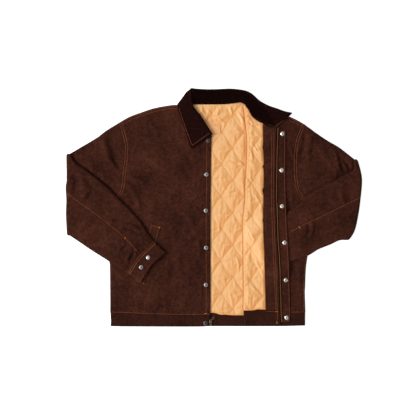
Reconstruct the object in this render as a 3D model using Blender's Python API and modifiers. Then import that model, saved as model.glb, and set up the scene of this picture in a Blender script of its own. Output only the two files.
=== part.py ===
"""A lined work jacket, unzipped and laid open on its back, built as the pieces that a maker would cut and sew.

Plan of the garment: +X is to the right of somebody looking down at it, +Y runs from hem to collar and +Z is up,
with the origin on the surface under the middle of the jacket. Names say "right" and "left" as the wearer would,
so the right front lies at -X. The right front lies flat over the back. The left front is folded back on itself,
inside up, over its own sleeve, and both sleeves are folded in at the elbow. Tables are in millimetres.
"""

import math

import bmesh
import bpy
import numpy as np
from mathutils import Matrix, Vector

MM = 0.001

# Cloth and how closely it lies
CLOTH = 2.4  # shell wall: canvas with the padding quilted to its back
LINING = 2.0
FACING = 1.5
TAPE = 0.8
BAND = 3.0  # hem band, of doubled cloth
COLLAR_CLOTH = 2.4
GAP = 0.35  # between pieces that meet
EDGE_ROUND = 9.0  # width over which a seamed or folded edge rounds down

# Heights of the middle of each layer
BACK_MID = CLOTH / 2
FRONT_MID = 7.45
SEAM_MID = (BACK_MID + FRONT_MID) / 2  # where front and back meet at the side
HALF_TUBE = (FRONT_MID - BACK_MID) / 2
LINING_UNDER = CLOTH + GAP
CENTRE_LIFT = 1.5  # the fronts rise over the thick quilting at the opening
HEM_DIP = 2.6  # and come down again where the lining ends
FOREARM_MID = 15.4
CUFF_TOP = FOREARM_MID + HALF_TUBE + CLOTH / 2

# Quilting
DIAMOND_WIDE = 70.0
DIAMOND_TALL = 100.0
DIAMOND_CORNER = (59.5, -315.0)
PUFF = 3.0

# Fastenings
SNAP_R = 7.3

COLOURS = {
    "canvas": ((0.045, 0.014, 0.009), 0.85, 0.0),
    "corduroy": ((0.012, 0.003, 0.002), 0.9, 0.0),
    "quilt": ((0.80, 0.40, 0.16), 0.45, 0.0),
    "label": ((0.63, 0.31, 0.18), 0.6, 0.0),
    "tape": ((0.018, 0.009, 0.006), 0.9, 0.0),
    "steel": ((0.62, 0.62, 0.60), 0.3, 1.0),
    "brass": ((0.42, 0.29, 0.11), 0.4, 1.0),
}


# ---------------------------------------------------------------- lines and grids in plan


def spline(points, fineness=16):
    """A dense line through the points, smooth where it passes each one."""
    pts = np.array(points, float)
    ends = np.vstack([2 * pts[0] - pts[1], pts, 2 * pts[-1] - pts[-2]])
    line = [pts[0]]
    for i in range(1, len(ends) - 2):
        p0, p1, p2, p3 = ends[i - 1 : i + 3]
        for step in range(1, fineness + 1):
            t = step / fineness
            line.append(
                0.5 * (2 * p1 + (p2 - p0) * t + (2 * p0 - 5 * p1 + 4 * p2 - p3) * t**2
                       + (3 * p1 - p0 - 3 * p2 + p3) * t**3)
            )
    return np.array(line)


def shares_of(line):
    """How far along the line each of its points is, from 0 to 1."""
    steps = np.linalg.norm(np.diff(line, axis=0), axis=1)
    return np.concatenate([[0], np.cumsum(steps)]) / steps.sum()


def length_of(line):
    return np.linalg.norm(np.diff(line, axis=0), axis=1).sum()


def along(line, shares):
    """The points of a line at these shares of its length."""
    own = shares_of(line)
    return np.stack([np.interp(shares, own, line[:, k]) for k in range(line.shape[1])], axis=1)


def stops(length, count, round_start=False, round_end=False):
    """Shares of a length for count cells, with two narrow cells more at each end that rounds down."""
    near = [0, 0.24 * EDGE_ROUND, EDGE_ROUND]
    start = near if round_start else [0]
    end = [length - d for d in reversed(near)] if round_end else [length]
    middle = np.linspace(start[-1], end[0], count + 1)[1:-1]
    return np.concatenate([start, middle, end]) / length


def join(*lines):
    """Lines that follow each other, with each shared point kept once."""
    return np.vstack([lines[0]] + [line[1:] for line in lines[1:]])


def patch(bottom, right, top, left):
    """Plan points of a four-sided panel between its edges. Rows run from bottom to top."""
    u = (shares_of(bottom) + shares_of(top)) / 2
    v = (shares_of(left) + shares_of(right)) / 2
    u, v = u[None, :, None], v[:, None, None]
    ruled = (1 - v) * bottom[None] + v * top[None] + (1 - u) * left[:, None] + u * right[:, None]
    corners = (1 - v) * ((1 - u) * bottom[0] + u * bottom[-1]) + v * ((1 - u) * top[0] + u * top[-1])
    return ruled - corners


def distance(plan, line):
    """How far each plan point is from a line."""
    shape = plan.shape[:-1]
    p = plan.reshape(-1, 1, 2)
    a, b = line[None, :-1, :2], line[None, 1:, :2]
    t = np.clip(((p - a) * (b - a)).sum(2) / np.maximum(((b - a) ** 2).sum(2), 1e-9), 0, 1)
    return np.linalg.norm(p - a - t[..., None] * (b - a), axis=2).min(1).reshape(shape)


# ---------------------------------------------------------------- heights


def smooth(share):
    share = np.clip(share, 0, 1)
    return share * share * (3 - 2 * share)


def rounded(inset):
    """0 on a seamed edge and 1 once the wall has rounded over, as a quarter ellipse."""
    return np.sqrt(1 - (1 - np.clip(inset / EDGE_ROUND, 0, 1)) ** 2)


def folds(plan, table):
    """Height of soft ridges (and troughs, where negative): one for each row of the table."""
    lift = np.zeros(plan.shape[:-1])
    for x, y, angle, length, width, height in table:
        turn = math.radians(angle)
        dx, dy = plan[..., 0] - x, plan[..., 1] - y
        far = (dx * math.cos(turn) + dy * math.sin(turn)) / (length / 2)
        off = (dy * math.cos(turn) - dx * math.sin(turn)) / width
        lift += height * np.exp(-off**2) * np.clip(1 - far**2, 0, 1) ** 2
    return lift


def front_level(plan):
    """Middle of a front where it lies flat over the back."""
    x, y = plan[..., 0], plan[..., 1]
    lift = CENTRE_LIFT * smooth((x + 75) / 50) * smooth((125 - x) / 28)
    return FRONT_MID + lift - HEM_DIP * smooth((-322 - y) / 42)


def quilting(plan):
    """Rise of the quilting: nothing along the crossed rows of stitches, full in the middle of each diamond."""
    x = (plan[..., 0] - DIAMOND_CORNER[0]) / DIAMOND_WIDE
    y = (plan[..., 1] - DIAMOND_CORNER[1]) / DIAMOND_TALL
    return np.sqrt(np.abs(np.sin(math.pi * (x + y)) * np.sin(math.pi * (x - y))))


# ---------------------------------------------------------------- solids


def material(name):
    made = bpy.data.materials.get(name)
    if made is None:
        colour, roughness, metallic = COLOURS[name]
        made = bpy.data.materials.new(name)
        made.use_nodes = True
        shader = made.node_tree.nodes["Principled BSDF"]
        shader.inputs["Base Color"].default_value = (*colour, 1)
        shader.inputs["Roughness"].default_value = roughness
        shader.inputs["Metallic"].default_value = metallic
    return made


def add(mesh, name, slot):
    mesh.materials.append(material(slot))
    obj = bpy.data.objects.new(name, mesh)
    JACKET.objects.link(obj)
    return obj


def normals_of(middle, closed):
    """Unit normal at each point of a grid of points, whose columns close on themselves if closed."""
    if closed:
        across = np.roll(middle, -1, axis=1) - np.roll(middle, 1, axis=1)
    else:
        across = np.gradient(middle, axis=1)
    up = np.gradient(middle, axis=0)
    normal = np.cross(across, up)
    return normal / np.linalg.norm(normal, axis=2, keepdims=True)


def wall(name, middle, slot, thickness=CLOTH, low=None, high=None, closed=False, normal=None, seam=None):
    """A closed cloth wall about a grid of points: from low to high along the grid's normals.

    Where seam is true, the wall stands level with the seam, so that its end faces its neighbour's.
    """
    low = -thickness / 2 if low is None else low
    high = thickness / 2 if high is None else high
    normal = normals_of(middle, closed) if normal is None else normal
    if seam is not None:
        normal[seam, 2] = 0
        normal /= np.linalg.norm(normal, axis=2, keepdims=True)
    rows, columns = middle.shape[:2]
    sides = [middle + normal * np.broadcast_to(h, (rows, columns))[..., None] for h in (low, high)]
    points = np.concatenate([side.reshape(-1, 3) for side in sides]) * MM
    upper = rows * columns

    def at(row, column):
        return row * columns + column % columns

    faces = []
    for r in range(rows - 1):
        for c in range(columns if closed else columns - 1):
            corners = [at(r, c), at(r, c + 1), at(r + 1, c + 1), at(r + 1, c)]
            for half in ([0, 1, 2], [0, 2, 3]):
                faces.append([corners[k] for k in reversed(half)])
                faces.append([upper + corners[k] for k in half])
    rim = [[at(0, c), at(0, c + 1)] for c in range(columns if closed else columns - 1)]
    rim += [[at(rows - 1, c + 1), at(rows - 1, c)] for c in range(columns if closed else columns - 1)]
    if not closed:
        rim += [[at(r, columns - 1), at(r + 1, columns - 1)] for r in range(rows - 1)]
        rim += [[at(r + 1, 0), at(r, 0)] for r in range(rows - 1)]
    faces += [[a, b, upper + b, upper + a] for a, b in rim]
    mesh = bpy.data.meshes.new(name)
    mesh.from_pydata(points.tolist(), [], faces)
    bm = bmesh.new()
    bm.from_mesh(mesh)
    bmesh.ops.recalc_face_normals(bm, faces=bm.faces)
    bm.to_mesh(mesh)
    bm.free()
    mesh.shade_smooth()
    mesh.set_sharp_from_angle(angle=math.radians(50))
    return add(mesh, name, slot)


def raised(plan, height):
    return np.concatenate([plan, np.broadcast_to(height, plan.shape[:-1])[..., None]], axis=-1)


# ---------------------------------------------------------------- the outlines, as (x, y)

SIDE_R = [(-320, -325), (-320, -283), (-321, -185), (-323, -165), (-326, -100), (-326, -45)]
ARMHOLE_R = [(-326, -45), (-321, -18), (-311, 10), (-297, 33), (-284, 55), (-280, 81), (-276, 119), (-271, 157), (-271, 194),
             (-278, 228), (-290, 265)]
SHOULDER_R = [(-290, 265), (-259, 282), (-218, 297), (-184, 308), (-135, 317), (-113, 318), (-90, 318)]
NECK_BACK = [(-90, 318), (-62, 320.2), (-9, 320.2), (38, 321.4), (64, 325.5), (80, 327), (92, 320)]
NECK_R = [(-90, 318), (-76, 298), (-61, 278), (-44, 257), (-28, 239), (-6, 226)]
FRONT_EDGE_R = [(-12, -332), (-11, -286), (-11, -162), (-11, -38), (-10, 86), (-9, 179), (-6, 226)]
HEM_SEAM_R = [(-320, -325), (-244, -328), (-132, -332), (-12, -332)]
HEM_SEAM_BACK = [(-320, -325), (-120, -334), (100, -334), (284, -325)]
HEM_R = [(-318, -365), (-308, -368), (-184, -369), (-51, -369), (-15, -367)]

SIDE_L = [(284, -325), (282, -268), (283, -241), (285, -194), (289, -160), (300, -95), (303, -34)]
ARMHOLE_L = [(303, -34), (299, -5), (288, 16), (273, 34), (263, 50), (257, 74), (254, 108), (253, 141), (255, 178), (260, 208),
             (270, 235), (280, 259)]
SHOULDER_L = [(92, 320), (160, 304), (237, 281), (280, 259)]
FOLD_L = [(90, -330), (91, -248), (90, -146), (89, -46), (96, 27), (97, 74), (101, 141), (102, 208), (97, 265),
          (90, 318)]
LINING_EDGE_L = [(162, -330), (159, -180), (154, -56), (156, 105), (154, 200), (153, 260)]
SHELL_EDGE_L = [(204, -330), (203, -298), (201, -231), (198, -160), (193, -80), (191, 4), (189, 27), (191, 158),
                (194, 247)]
NECK_L_LINING = [(92, 318), (104, 304), (116, 284), (133, 270), (153, 260)]
NECK_L_FACING = [(153, 260), (172, 250), (194, 247)]
PLACKET_FREE_L = [(238, -356), (236, -248), (231, -126), (226, -46), (223, 91), (224, 239)]

HEM_BOTTOM = -368.0
LAST_TURNED_Y = -366.0

# Sleeves: each edge runs from armhole to elbow and from elbow to cuff, each fold and seam from the lower edge up
SLEEVE_R = {
    "out": -1,
    "armhole": ARMHOLE_R,
    "under": [(-326, -45), (-380, -66), (-445, -85)],
    "over": [(-290, 265), (-335, 237), (-361, 217), (-413, 186), (-447, 166)],
    "elbow": [(-455, -85), (-458, -22), (-457, 24), (-459, 63), (-456, 89), (-457, 166)],
    "fore_under": [(-445, -85), (-412, -107), (-380, -129), (-323, -165), (-263, -204)],
    "fore_over": [(-447, 166), (-429, 138), (-394, 113), (-331, 63), (-301, 33), (-266, -1), (-228, -44), (-204, -81),
                  (-182, -108)],
    "seam": [(-263, -204), (-230, -155), (-182, -108)],
    "cuff_under": [(-263, -204), (-225, -232)],
    "cuff_over": [(-182, -108), (-148, -139)],
    "cuff_end": [(-225, -232), (-192, -178), (-148, -139)],
    "settle": 0.0,
}
SLEEVE_L = {
    "out": 1,
    "armhole": ARMHOLE_L,
    "under": [(303, -34), (360, -60), (411, -99)],
    "over": [(280, 259), (321, 229), (354, 207), (391, 185), (437, 149)],
    "elbow": [(421, -99), (437, -72), (447, -32), (455, 22), (460, 91), (447, 149)],
    "fore_under": [(411, -99), (389, -100), (361, -113), (324, -128), (292, -147), (240, -166)],
    "fore_over": [(437, 149), (434, 116), (405, 101), (374, 81), (328, 59), (287, 35), (266, 11), (242, -7),
                  (166, -56)],
    "seam": [(240, -166), (203, -107), (166, -56)],
    "cuff_under": [(240, -166), (202, -195)],
    "cuff_over": [(166, -56), (128, -85)],
    "cuff_end": [(202, -195), (165, -136), (128, -85)],
    "settle": 2.0,
}

# Soft folds: middle x, y, angle, length, half width, height
FOLDS_FRONT_R = [
    (-252, 74, -28, 60, 9, -1.6),
    (-243, 92, -35, 62, 9, 2.2),
    (-232, 150, 62, 90, 16, 2.0),
    (-172, -120, 84, 190, 14, 2.4),
    (-105, -190, 86, 150, 13, 2.0),
    (-120, 60, 80, 200, 22, 1.6),
    (-176, -290, 70, 60, 10, 1.8),
]
FOLDS_SLEEVE_R = [
    (-310, 150, -70, 120, 10, 2.6),
    (-330, 190, -62, 90, 9, 2.0),
    (-395, 105, 8, 90, 9, 2.4),
]
FOLDS_FOREARM_R = [
    (-415, 100, -72, 100, 9, 2.2),
    (-390, 35, 30, 120, 12, 2.4),
    (-320, -25, -70, 90, 10, 2.2),
    (-290, -90, -60, 80, 9, 2.0),
    (-250, -120, -45, 70, 8, 2.2),
]
FOLDS_SLEEVE_L = [
    (290, 170, -80, 110, 9, 2.6),
    (330, 180, -60, 100, 10, 2.2),
    (390, 120, -82, 70, 8, 2.0),
]
FOLDS_FOREARM_L = [
    (385, 130, -78, 60, 8, 1.6),
    (415, 40, 78, 110, 10, 2.2),
    (300, -20, -55, 60, 8, 2.0),
    (330, -60, 25, 90, 11, 1.8),
]
FOLDS_TURNED = [
    (120, 150, 86, 160, 14, 1.0),
    (178, 110, 4, 40, 10, 1.2),
    (180, 20, -6, 40, 10, 1.2),
    (182, -150, 5, 40, 10, 1.2),
]


# ---------------------------------------------------------------- rows and columns

ACROSS_SLEEVE = 6
SIDE_CELLS = 13
SEAMS = [spline(SIDE_R), spline(SHOULDER_R), spline(SIDE_L), spline(SHOULDER_L)]


def sampled(points, count, round_start=False, round_end=False):
    line = spline(points)
    return along(line, stops(length_of(line), count, round_start, round_end))


def body_edge(side, armhole):
    """Side seam and armhole, with the points that the sleeve's first ring has too."""
    return join(sampled(side, SIDE_CELLS), sampled(armhole, ACROSS_SLEEVE, True, True))


def level_with(points, edge):
    """A line whose rows rise as evenly as those of another edge."""
    line = spline(points)
    heights = edge[:, 1]
    shares = (heights - heights[0]) / (heights[-1] - heights[0])
    return along(line, np.interp(shares, (line[:, 1] - line[0, 1]) / (line[-1, 1] - line[0, 1]), shares_of(line)))


def seam_inset(plan):
    return np.min([distance(plan, seam) for seam in SEAMS], axis=0)


def to_seam(plan, level, upper):
    """A layer's level, brought round to the seam between front and back where it has one."""
    seam = (BACK_MID + front_level(plan)) / 2 + GAP / 2 * (1 if upper else -1)
    return seam + (level - seam) * rounded(seam_inset(plan))


def at_seam(plan):
    return seam_inset(plan) < 0.02


EDGE_R = body_edge(SIDE_R, ARMHOLE_R)
EDGE_L = body_edge(SIDE_L, ARMHOLE_L)


def off_arm(plan, shape):
    """How far each plan point is from a forearm and its cuff, and 0 under them."""
    arm = np.vstack([spline(shape["fore_over"]), spline(shape["cuff_over"]), spline(shape["cuff_end"])[::-1],
                     spline(shape["cuff_under"])[::-1], spline(shape["fore_under"])[::-1]])
    x, y = plan[..., 0].ravel()[:, None], plan[..., 1].ravel()[:, None]
    x0, y0 = arm[None, :, 0], arm[None, :, 1]
    x1, y1 = np.roll(arm, -1, axis=0).T[:, None, :]
    level = np.where(y1 == y0, 1e-9, y1 - y0)
    crossed = ((y0 > y) != (y1 > y)) & (x < (x1 - x0) * (y - y0) / level + x0)
    inside = (np.sum(crossed, axis=1) % 2 == 1).reshape(plan.shape[:-1])
    return np.where(inside, 0, distance(plan, arm))


def support(plan):
    """Top of what the folded-back front lies on: its own lower layer, or the forearm between."""
    flat = front_level(plan) + BAND / 2
    over_arm = CUFF_TOP - SLEEVE_L["settle"] + 0.8
    return flat + (over_arm - flat) * smooth(1 - (off_arm(plan, SLEEVE_L) - 6) / 50)


TURNED_RISE = 3.7 + CLOTH / 2


def turned_level(plan):
    return support(plan) + TURNED_RISE


# ---------------------------------------------------------------- back and fronts


def eased(plan, towards, distance_moved=GAP):
    """A plan row moved a little towards the next row, to leave a gap at a seam."""
    step = towards - plan
    return plan + distance_moved * step / np.linalg.norm(step, axis=-1, keepdims=True)


def build_back():
    top = join(sampled(SHOULDER_R, 3, True), sampled(NECK_BACK, 4, True, True), sampled(SHOULDER_L, 3, False, True))
    plan = patch(sampled(HEM_SEAM_BACK, 14, True, True), EDGE_L, top, EDGE_R)
    wall("back", raised(plan, to_seam(plan, BACK_MID, False)), "canvas", seam=at_seam(plan))


def right_surface(plan):
    """Middle of the right front, with its folds, which flatten under the forearm."""
    lift = smooth((seam_inset(plan) - 4) / 20) * smooth(off_arm(plan, SLEEVE_R) / 30)
    return front_level(plan) + folds(plan, FOLDS_FRONT_R) * lift


def build_front_right():
    top = join(sampled(SHOULDER_R, 5, True), sampled(NECK_R, 6))
    bottom = sampled(HEM_SEAM_R, 11, True)
    edge = level_with(FRONT_EDGE_R, EDGE_R)

    plan = patch(bottom, edge, top, EDGE_R)
    middle = raised(plan, to_seam(plan, right_surface(plan), True))
    wall("front_right", middle, "canvas", seam=at_seam(plan))
    return middle


def turned_plan(rows_like):
    """Plan of the folded-back part, from the fold to the edge of its shell; and the column where lining ends."""
    lining_cells, facing_cells = 5, 3
    fold = level_with(FOLD_L, rows_like)
    fold = fold + np.array([3.9, 0])
    lining_edge = level_with(LINING_EDGE_L, rows_like)
    shell_edge = level_with(SHELL_EDGE_L, rows_like)

    def strip(left, right, neck, cells):
        top = sampled(neck, cells)
        top[0], top[-1] = left[-1], right[-1]
        bottom = along(np.array([left[0], right[0]]), np.linspace(0, 1, cells + 1))
        return patch(bottom, right, top, left)

    lining = strip(fold, lining_edge, NECK_L_LINING, lining_cells)
    facing = strip(lining_edge, shell_edge, NECK_L_FACING, facing_cells)
    return np.concatenate([lining, facing[:, 1:]], axis=1), lining_cells


def folded(under, under_level, turned, turned_z):
    """One wall from the side seam to the fold, round it, and back on top of itself."""
    low, high = under_level[:, :1], turned_z[:, :1]
    start = turned[:, :1]
    bend, bend_z = [], []
    for angle in (40, 90, 140):
        turn = math.radians(angle)
        bend.append(start - np.array([2.7 * math.sin(turn), 0]))
        bend_z.append((low + high) / 2 - (high - low) / 2 * math.cos(turn))
    plan = np.concatenate([under[:, ::-1], *bend, turned], axis=1)
    z = np.concatenate([under_level[:, ::-1], *bend_z, turned_z], axis=1)
    return raised(plan, z), under.shape[1]


def build_front_left():
    across = 7
    turned, lining_column = turned_plan(EDGE_L)
    fold = turned[:, 0]
    top = sampled(SHOULDER_L, across, False, True)
    top[0] = fold[-1]
    bottom = along(np.array([fold[0], EDGE_L[0]]), stops(194, across, False, True))
    under = patch(bottom, EDGE_L, top, fold)
    creased = turned_level(turned) + folds(turned, FOLDS_TURNED)
    middle, side_columns = folded(under, to_seam(under, front_level(under), True), turned, creased)
    seam = np.zeros(middle.shape[:2], bool)
    seam[:, :side_columns] = at_seam(under)[:, ::-1]
    wall("front_left", middle, "canvas", seam=seam)
    normal = normals_of(middle, False)
    return middle[:, side_columns + 3 :], normal[:, side_columns + 3 :], lining_column


def build_left_inside(over, normal, lining_column):
    """Quilted lining and facing on the folded-back front, from its own points moved out."""
    rise = CLOTH / 2 + GAP
    lining = over[:, : lining_column + 1].copy()
    lining[:, -1] = eased(lining[:, -1], lining[:, -2])
    puff = PUFF * quilting(lining)
    puff[:, -1] = puff[0] = puff[-1] = 0
    wall("lining_left", lining, "quilt", low=rise, high=rise + LINING + puff,
         normal=normal[:, : lining_column + 1])
    wall("facing_left", over[:, lining_column:], "canvas", low=rise, high=rise + FACING,
         normal=normal[:, lining_column:])


def build_lining_back():
    """The back's lining: plain and inside the seams where the fronts hide it, quilted where it shows."""
    step_x, step_y = DIAMOND_WIDE / 6, DIAMOND_TALL / 6
    seen = np.concatenate([[-70], DIAMOND_CORNER[0] + step_x * np.arange(-7, 4)])
    rows = DIAMOND_CORNER[1] + step_y * np.arange(-1, 39)
    inset = np.concatenate([[1.0], np.zeros(len(seen) - 2), [0.05, 0.16], [1.0]])[None]
    rise = ((rows - rows[0]) / (rows[-1] - rows[0]))[:, None]
    y = rows[:, None] + inset * (12 * (1 - rise) - 96 * rise)
    left = np.interp(y, EDGE_R[:, 1], EDGE_R[:, 0]) + 15
    right = np.interp(y, EDGE_L[:, 1], EDGE_L[:, 0]) - 15
    x = np.concatenate([[0], seen, [0]])[None] + 0 * y
    x[:, 0], x[:, -1] = left[:, 0], right[:, -1]
    y[-1] += 5 * smooth((x[-1] - 45) / 25) * smooth((100 - x[-1]) / 10)  # up to the collar beside the fold
    plan = np.stack([x, y], axis=2)
    shown = smooth((x + 10) / 12) * smooth((97 - x) / 14) * smooth((y + 330) / 12) * smooth((312 - y) / 8)
    label = smooth((x + 74) / 10) * smooth((42 - x) / 10) * smooth((y - 200) / 12) * smooth((286 - y) / 10)
    puff = PUFF * quilting(plan) * shown * (1 - 0.97 * label)
    wall("lining_back", raised(plan, LINING_UNDER), "quilt", low=0.0, high=LINING + puff)


# ---------------------------------------------------------------- sleeves and cuffs


def across_shares(line, cells=ACROSS_SLEEVE):
    return stops(length_of(line), cells, True, True)


def ring_half(plan):
    """Half the height of a flattened tube at each column, rounding to nothing at its two folds."""
    steps = np.linalg.norm(np.diff(plan, axis=1), axis=2)
    reach = np.concatenate([np.zeros((len(plan), 1)), np.cumsum(steps, axis=1)], axis=1)
    return HALF_TUBE * rounded(np.minimum(reach, reach[:, -1:] - reach))


def tube(centre, thin, half, inner_lift=0.0, outer_lift=0.0):
    """Rings of a flattened tube: one wall at centre + thin * half and the other at centre - thin * half."""
    up = np.array([0, 0, 1.0])
    inner = centre + thin * half[..., None] + up * np.broadcast_to(inner_lift, half.shape)[..., None]
    outer = centre - thin * half[..., None] + up * np.broadcast_to(outer_lift, half.shape)[..., None]
    return np.concatenate([inner, outer[:, -2:0:-1]], axis=1)


def build_sleeve(side, shape, arm_folds, fore_folds):
    out = shape["out"]
    arm_rows, fore_rows = 7, 10
    ends = {}
    for key in ("armhole", "elbow", "seam"):
        line = spline(shape[key])
        ends[key] = along(line, across_shares(line))
    hinge_z = (SEAM_MID + FOREARM_MID) / 2
    radius = (FOREARM_MID - SEAM_MID) / 2
    hinge = ends["elbow"] - np.array([out * (radius + HALF_TUBE + CLOTH / 2), 0])

    arm = patch(ends["armhole"], sampled(shape["over"], arm_rows), hinge, sampled(shape["under"], arm_rows))
    reach = np.linalg.norm(arm[0] - arm[0, 0], axis=1)
    run = np.gradient(arm[0], axis=0)
    away = np.stack([out * run[:, 1], -out * run[:, 0]], axis=1) / np.linalg.norm(run, axis=1)[:, None]
    arm[0] += away * (GAP + 0.15 + 2.6 * smooth(1 - reach / 26))[:, None]
    up = np.array([0, 0, 1.0])
    half = ring_half(arm)
    creases = folds(arm, arm_folds) * smooth((half / HALF_TUBE - 0.6) / 0.4)
    creases *= smooth((off_arm(arm, shape) - 4) / 25) * smooth(distance(arm, ends["armhole"]) / 25)
    parts = [tube(raised(arm, SEAM_MID), up, half, inner_lift=creases)]

    half_row = half[-1:]
    for angle in (30, 60, 90, 120, 150):
        turn = math.radians(angle)
        centre = raised(hinge[None] + np.array([out * radius * math.sin(turn), 0]), hinge_z - radius * math.cos(turn))
        thin = np.array([-out * math.sin(turn), 0, math.cos(turn)])
        parts.append(tube(centre, thin, half_row))

    fore = patch(hinge, sampled(shape["fore_over"], fore_rows), ends["seam"], sampled(shape["fore_under"], fore_rows))
    half = ring_half(fore)
    sink = shape["settle"] * smooth((distance(fore, hinge) - 8) / 50)
    creases = folds(fore, fore_folds) * smooth((half / HALF_TUBE - 0.6) / 0.4)
    creases *= smooth(distance(fore, hinge) / 25) * smooth(distance(fore, ends["seam"]) / 25)
    if out > 0:
        creases *= smooth((fore[..., 0] - 262) / 40)
    parts.append(tube(raised(fore, FOREARM_MID - sink), -up, half, outer_lift=creases))
    wall("sleeve_" + side, np.concatenate(parts), "canvas", closed=True)
    return ends["seam"]


def build_cuff_left(shape, seam):
    rows = 3
    end = spline(shape["cuff_end"])
    plan = patch(seam, sampled(shape["cuff_over"], rows), along(end, across_shares(end)),
                 sampled(shape["cuff_under"], rows))
    plan[0] = eased(plan[0], plan[1], GAP + 0.1)
    middle = tube(raised(plan, FOREARM_MID - shape["settle"]), np.array([0, 0, -1.0]), ring_half(plan))
    wall("cuff_left", middle, "canvas", closed=True)


def build_cuff_right(shape):
    """An open band round the sleeve, whose upper flap laps over the lower one and snaps to it."""
    rows = 4
    flap_over, flap_under = 0.47, 0.62
    shares = {
        "over": np.concatenate([np.linspace(flap_over, 0.92, 5), [0.982]]),
        "below": np.concatenate([[1.0, 0.982], np.linspace(0.92, 0.08, 6), [0.018]]),
        "under": np.concatenate([[0.0, 0.018], np.linspace(0.08, flap_under, 5)]),
    }
    side_over, side_under = sampled(shape["cuff_over"], rows), sampled(shape["cuff_under"], rows)

    def strip(share):
        seam, end = spline(shape["seam"]), spline(shape["cuff_end"])
        start, stop = along(seam, [0.0, 1.0]), along(end, [0.0, 1.0])
        whole = np.linspace(0, 1, 41)
        plan = patch(along(seam, whole), side_over, along(end, whole), side_under)
        column = share * 40
        low = np.minimum(column.astype(int), 39)
        part = (column - low)[None, :, None]
        plan = plan[:, low] * (1 - part) + plan[:, low + 1] * part
        half = HALF_TUBE * rounded(np.minimum(share, 1 - share) * 124)
        return plan, half

    pieces = []
    for key, sign in (("over", 1), ("below", -1), ("under", 1)):
        plan, half = strip(shares[key])
        z = FOREARM_MID + sign * np.broadcast_to(half, plan.shape[:2])
        if key == "over":
            z = z + (CLOTH + 0.6) * smooth((0.95 - shares[key]) / 0.26)
        pieces.append(raised(plan, z))
    middle = np.concatenate(pieces, axis=1)
    middle[0, :, :2] = eased(middle[0, :, :2], middle[1, :, :2], GAP + 0.1)
    wall("cuff_right", middle, "canvas")


# ---------------------------------------------------------------- bands, placket, tapes, welt and label


BAND_STOPS = np.linspace(0, 1, 4)


def build_hem():
    side_r, side_l = np.array([SIDE_R[0], HEM_R[0]]), np.array([SIDE_L[0], (284, -366)])

    hem = along(spline([HEM_R[0], (-250, HEM_BOTTOM), (-23, HEM_BOTTOM), (200, HEM_BOTTOM), side_l[1]]),
                stops(604, 9, True, True))
    plan = patch(sampled(HEM_SEAM_BACK, 9, True, True), along(side_l, BAND_STOPS), hem, along(side_r, BAND_STOPS))
    plan[0] = eased(plan[0], plan[1], GAP + 0.1)
    wall("hem_band_back", raised(plan, BAND / 2), "canvas", thickness=BAND)

    top, hem = sampled(HEM_SEAM_R, 9), sampled(HEM_R, 9)
    plan = patch(top, along(np.array([top[-1], hem[-1]]), BAND_STOPS), hem, along(side_r, BAND_STOPS))
    plan[0] = eased(plan[0], plan[1], GAP + 0.1)
    wall("hem_band_right", raised(plan, front_level(plan)), "canvas", thickness=BAND)

    fold = np.array([(93.9, -330.0), (95.9, HEM_BOTTOM + 1)])
    shell = np.array([(204.0, -330.0), (207.0, LAST_TURNED_Y)])
    under = patch(along(np.array([fold[0], side_l[0]]), stops(190, 5, False, True)), along(side_l, BAND_STOPS),
                  along(np.array([fold[1], side_l[1]]), stops(190, 5, False, True)), along(fold, BAND_STOPS))
    shares = np.linspace(0, 1, 7)
    turned = patch(along(np.array([fold[0], shell[0]]), shares), along(shell, BAND_STOPS),
                   along(np.array([fold[1], shell[1]]), shares), along(fold, BAND_STOPS))
    for plan in (under, turned):
        plan[0] = eased(plan[0], plan[1], GAP + 0.1)
    middle, _ = folded(under, front_level(under), turned, turned_level(turned) + 0.3)
    wall("hem_band_left", middle, "canvas", thickness=BAND)


def opening_rows():
    """The edge of the folded-back shell with the shell's own rows, and on down the hem band."""
    edge = level_with(SHELL_EDGE_L, EDGE_L)
    return np.vstack([[(206, -354.7), (205, -342.3)], edge])


def build_placket():
    edge = opening_rows()
    edge = edge[edge[:, 1] < 242]
    free = spline(PLACKET_FREE_L)
    outer = np.stack([np.interp(edge[:, 1], free[:, 1], free[:, 0]), edge[:, 1]], axis=1)
    inner = edge - np.array([13, 0])
    shares = np.linspace(0, 1, 4)[None, :, None]
    plan = inner[:, None] * (1 - shares) + outer[:, None] * shares
    middle = raised(plan, support(plan) + GAP + 1.25)
    wall("placket", middle, "canvas", thickness=2.5)
    return middle


def build_tapes():
    edge = opening_rows()
    across = np.array([0.9, 3.6, 6.2, 8.6])
    plan = edge[:, None] + np.stack([across, 0 * across], axis=1)[None]
    teeth = np.array([0, 1.0, 1.0, 0.6])
    wall("zip_tape_left", raised(plan, support(plan) + GAP + 2.5 + GAP + TAPE / 2 + 0.4), "tape", low=-TAPE / 2,
         high=TAPE / 2 + 1.3 * teeth)

    edge = level_with(FRONT_EDGE_R, EDGE_R)
    edge = np.vstack([[(-14.6, -354.7), (-13.6, -342.3)], edge[edge[:, 1] < 206]])
    across = np.array([-22.0, -10.0, -3.0, 1.0])
    plan = edge[:, None] + np.stack([across, 0 * across], axis=1)[None]
    lower = 0.35 * (plan[..., 1] < -330)
    wall("zip_tape_right", raised(plan, front_level(plan) - CLOTH / 2 - GAP - TAPE / 2 - lower), "tape",
         thickness=TAPE)


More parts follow.
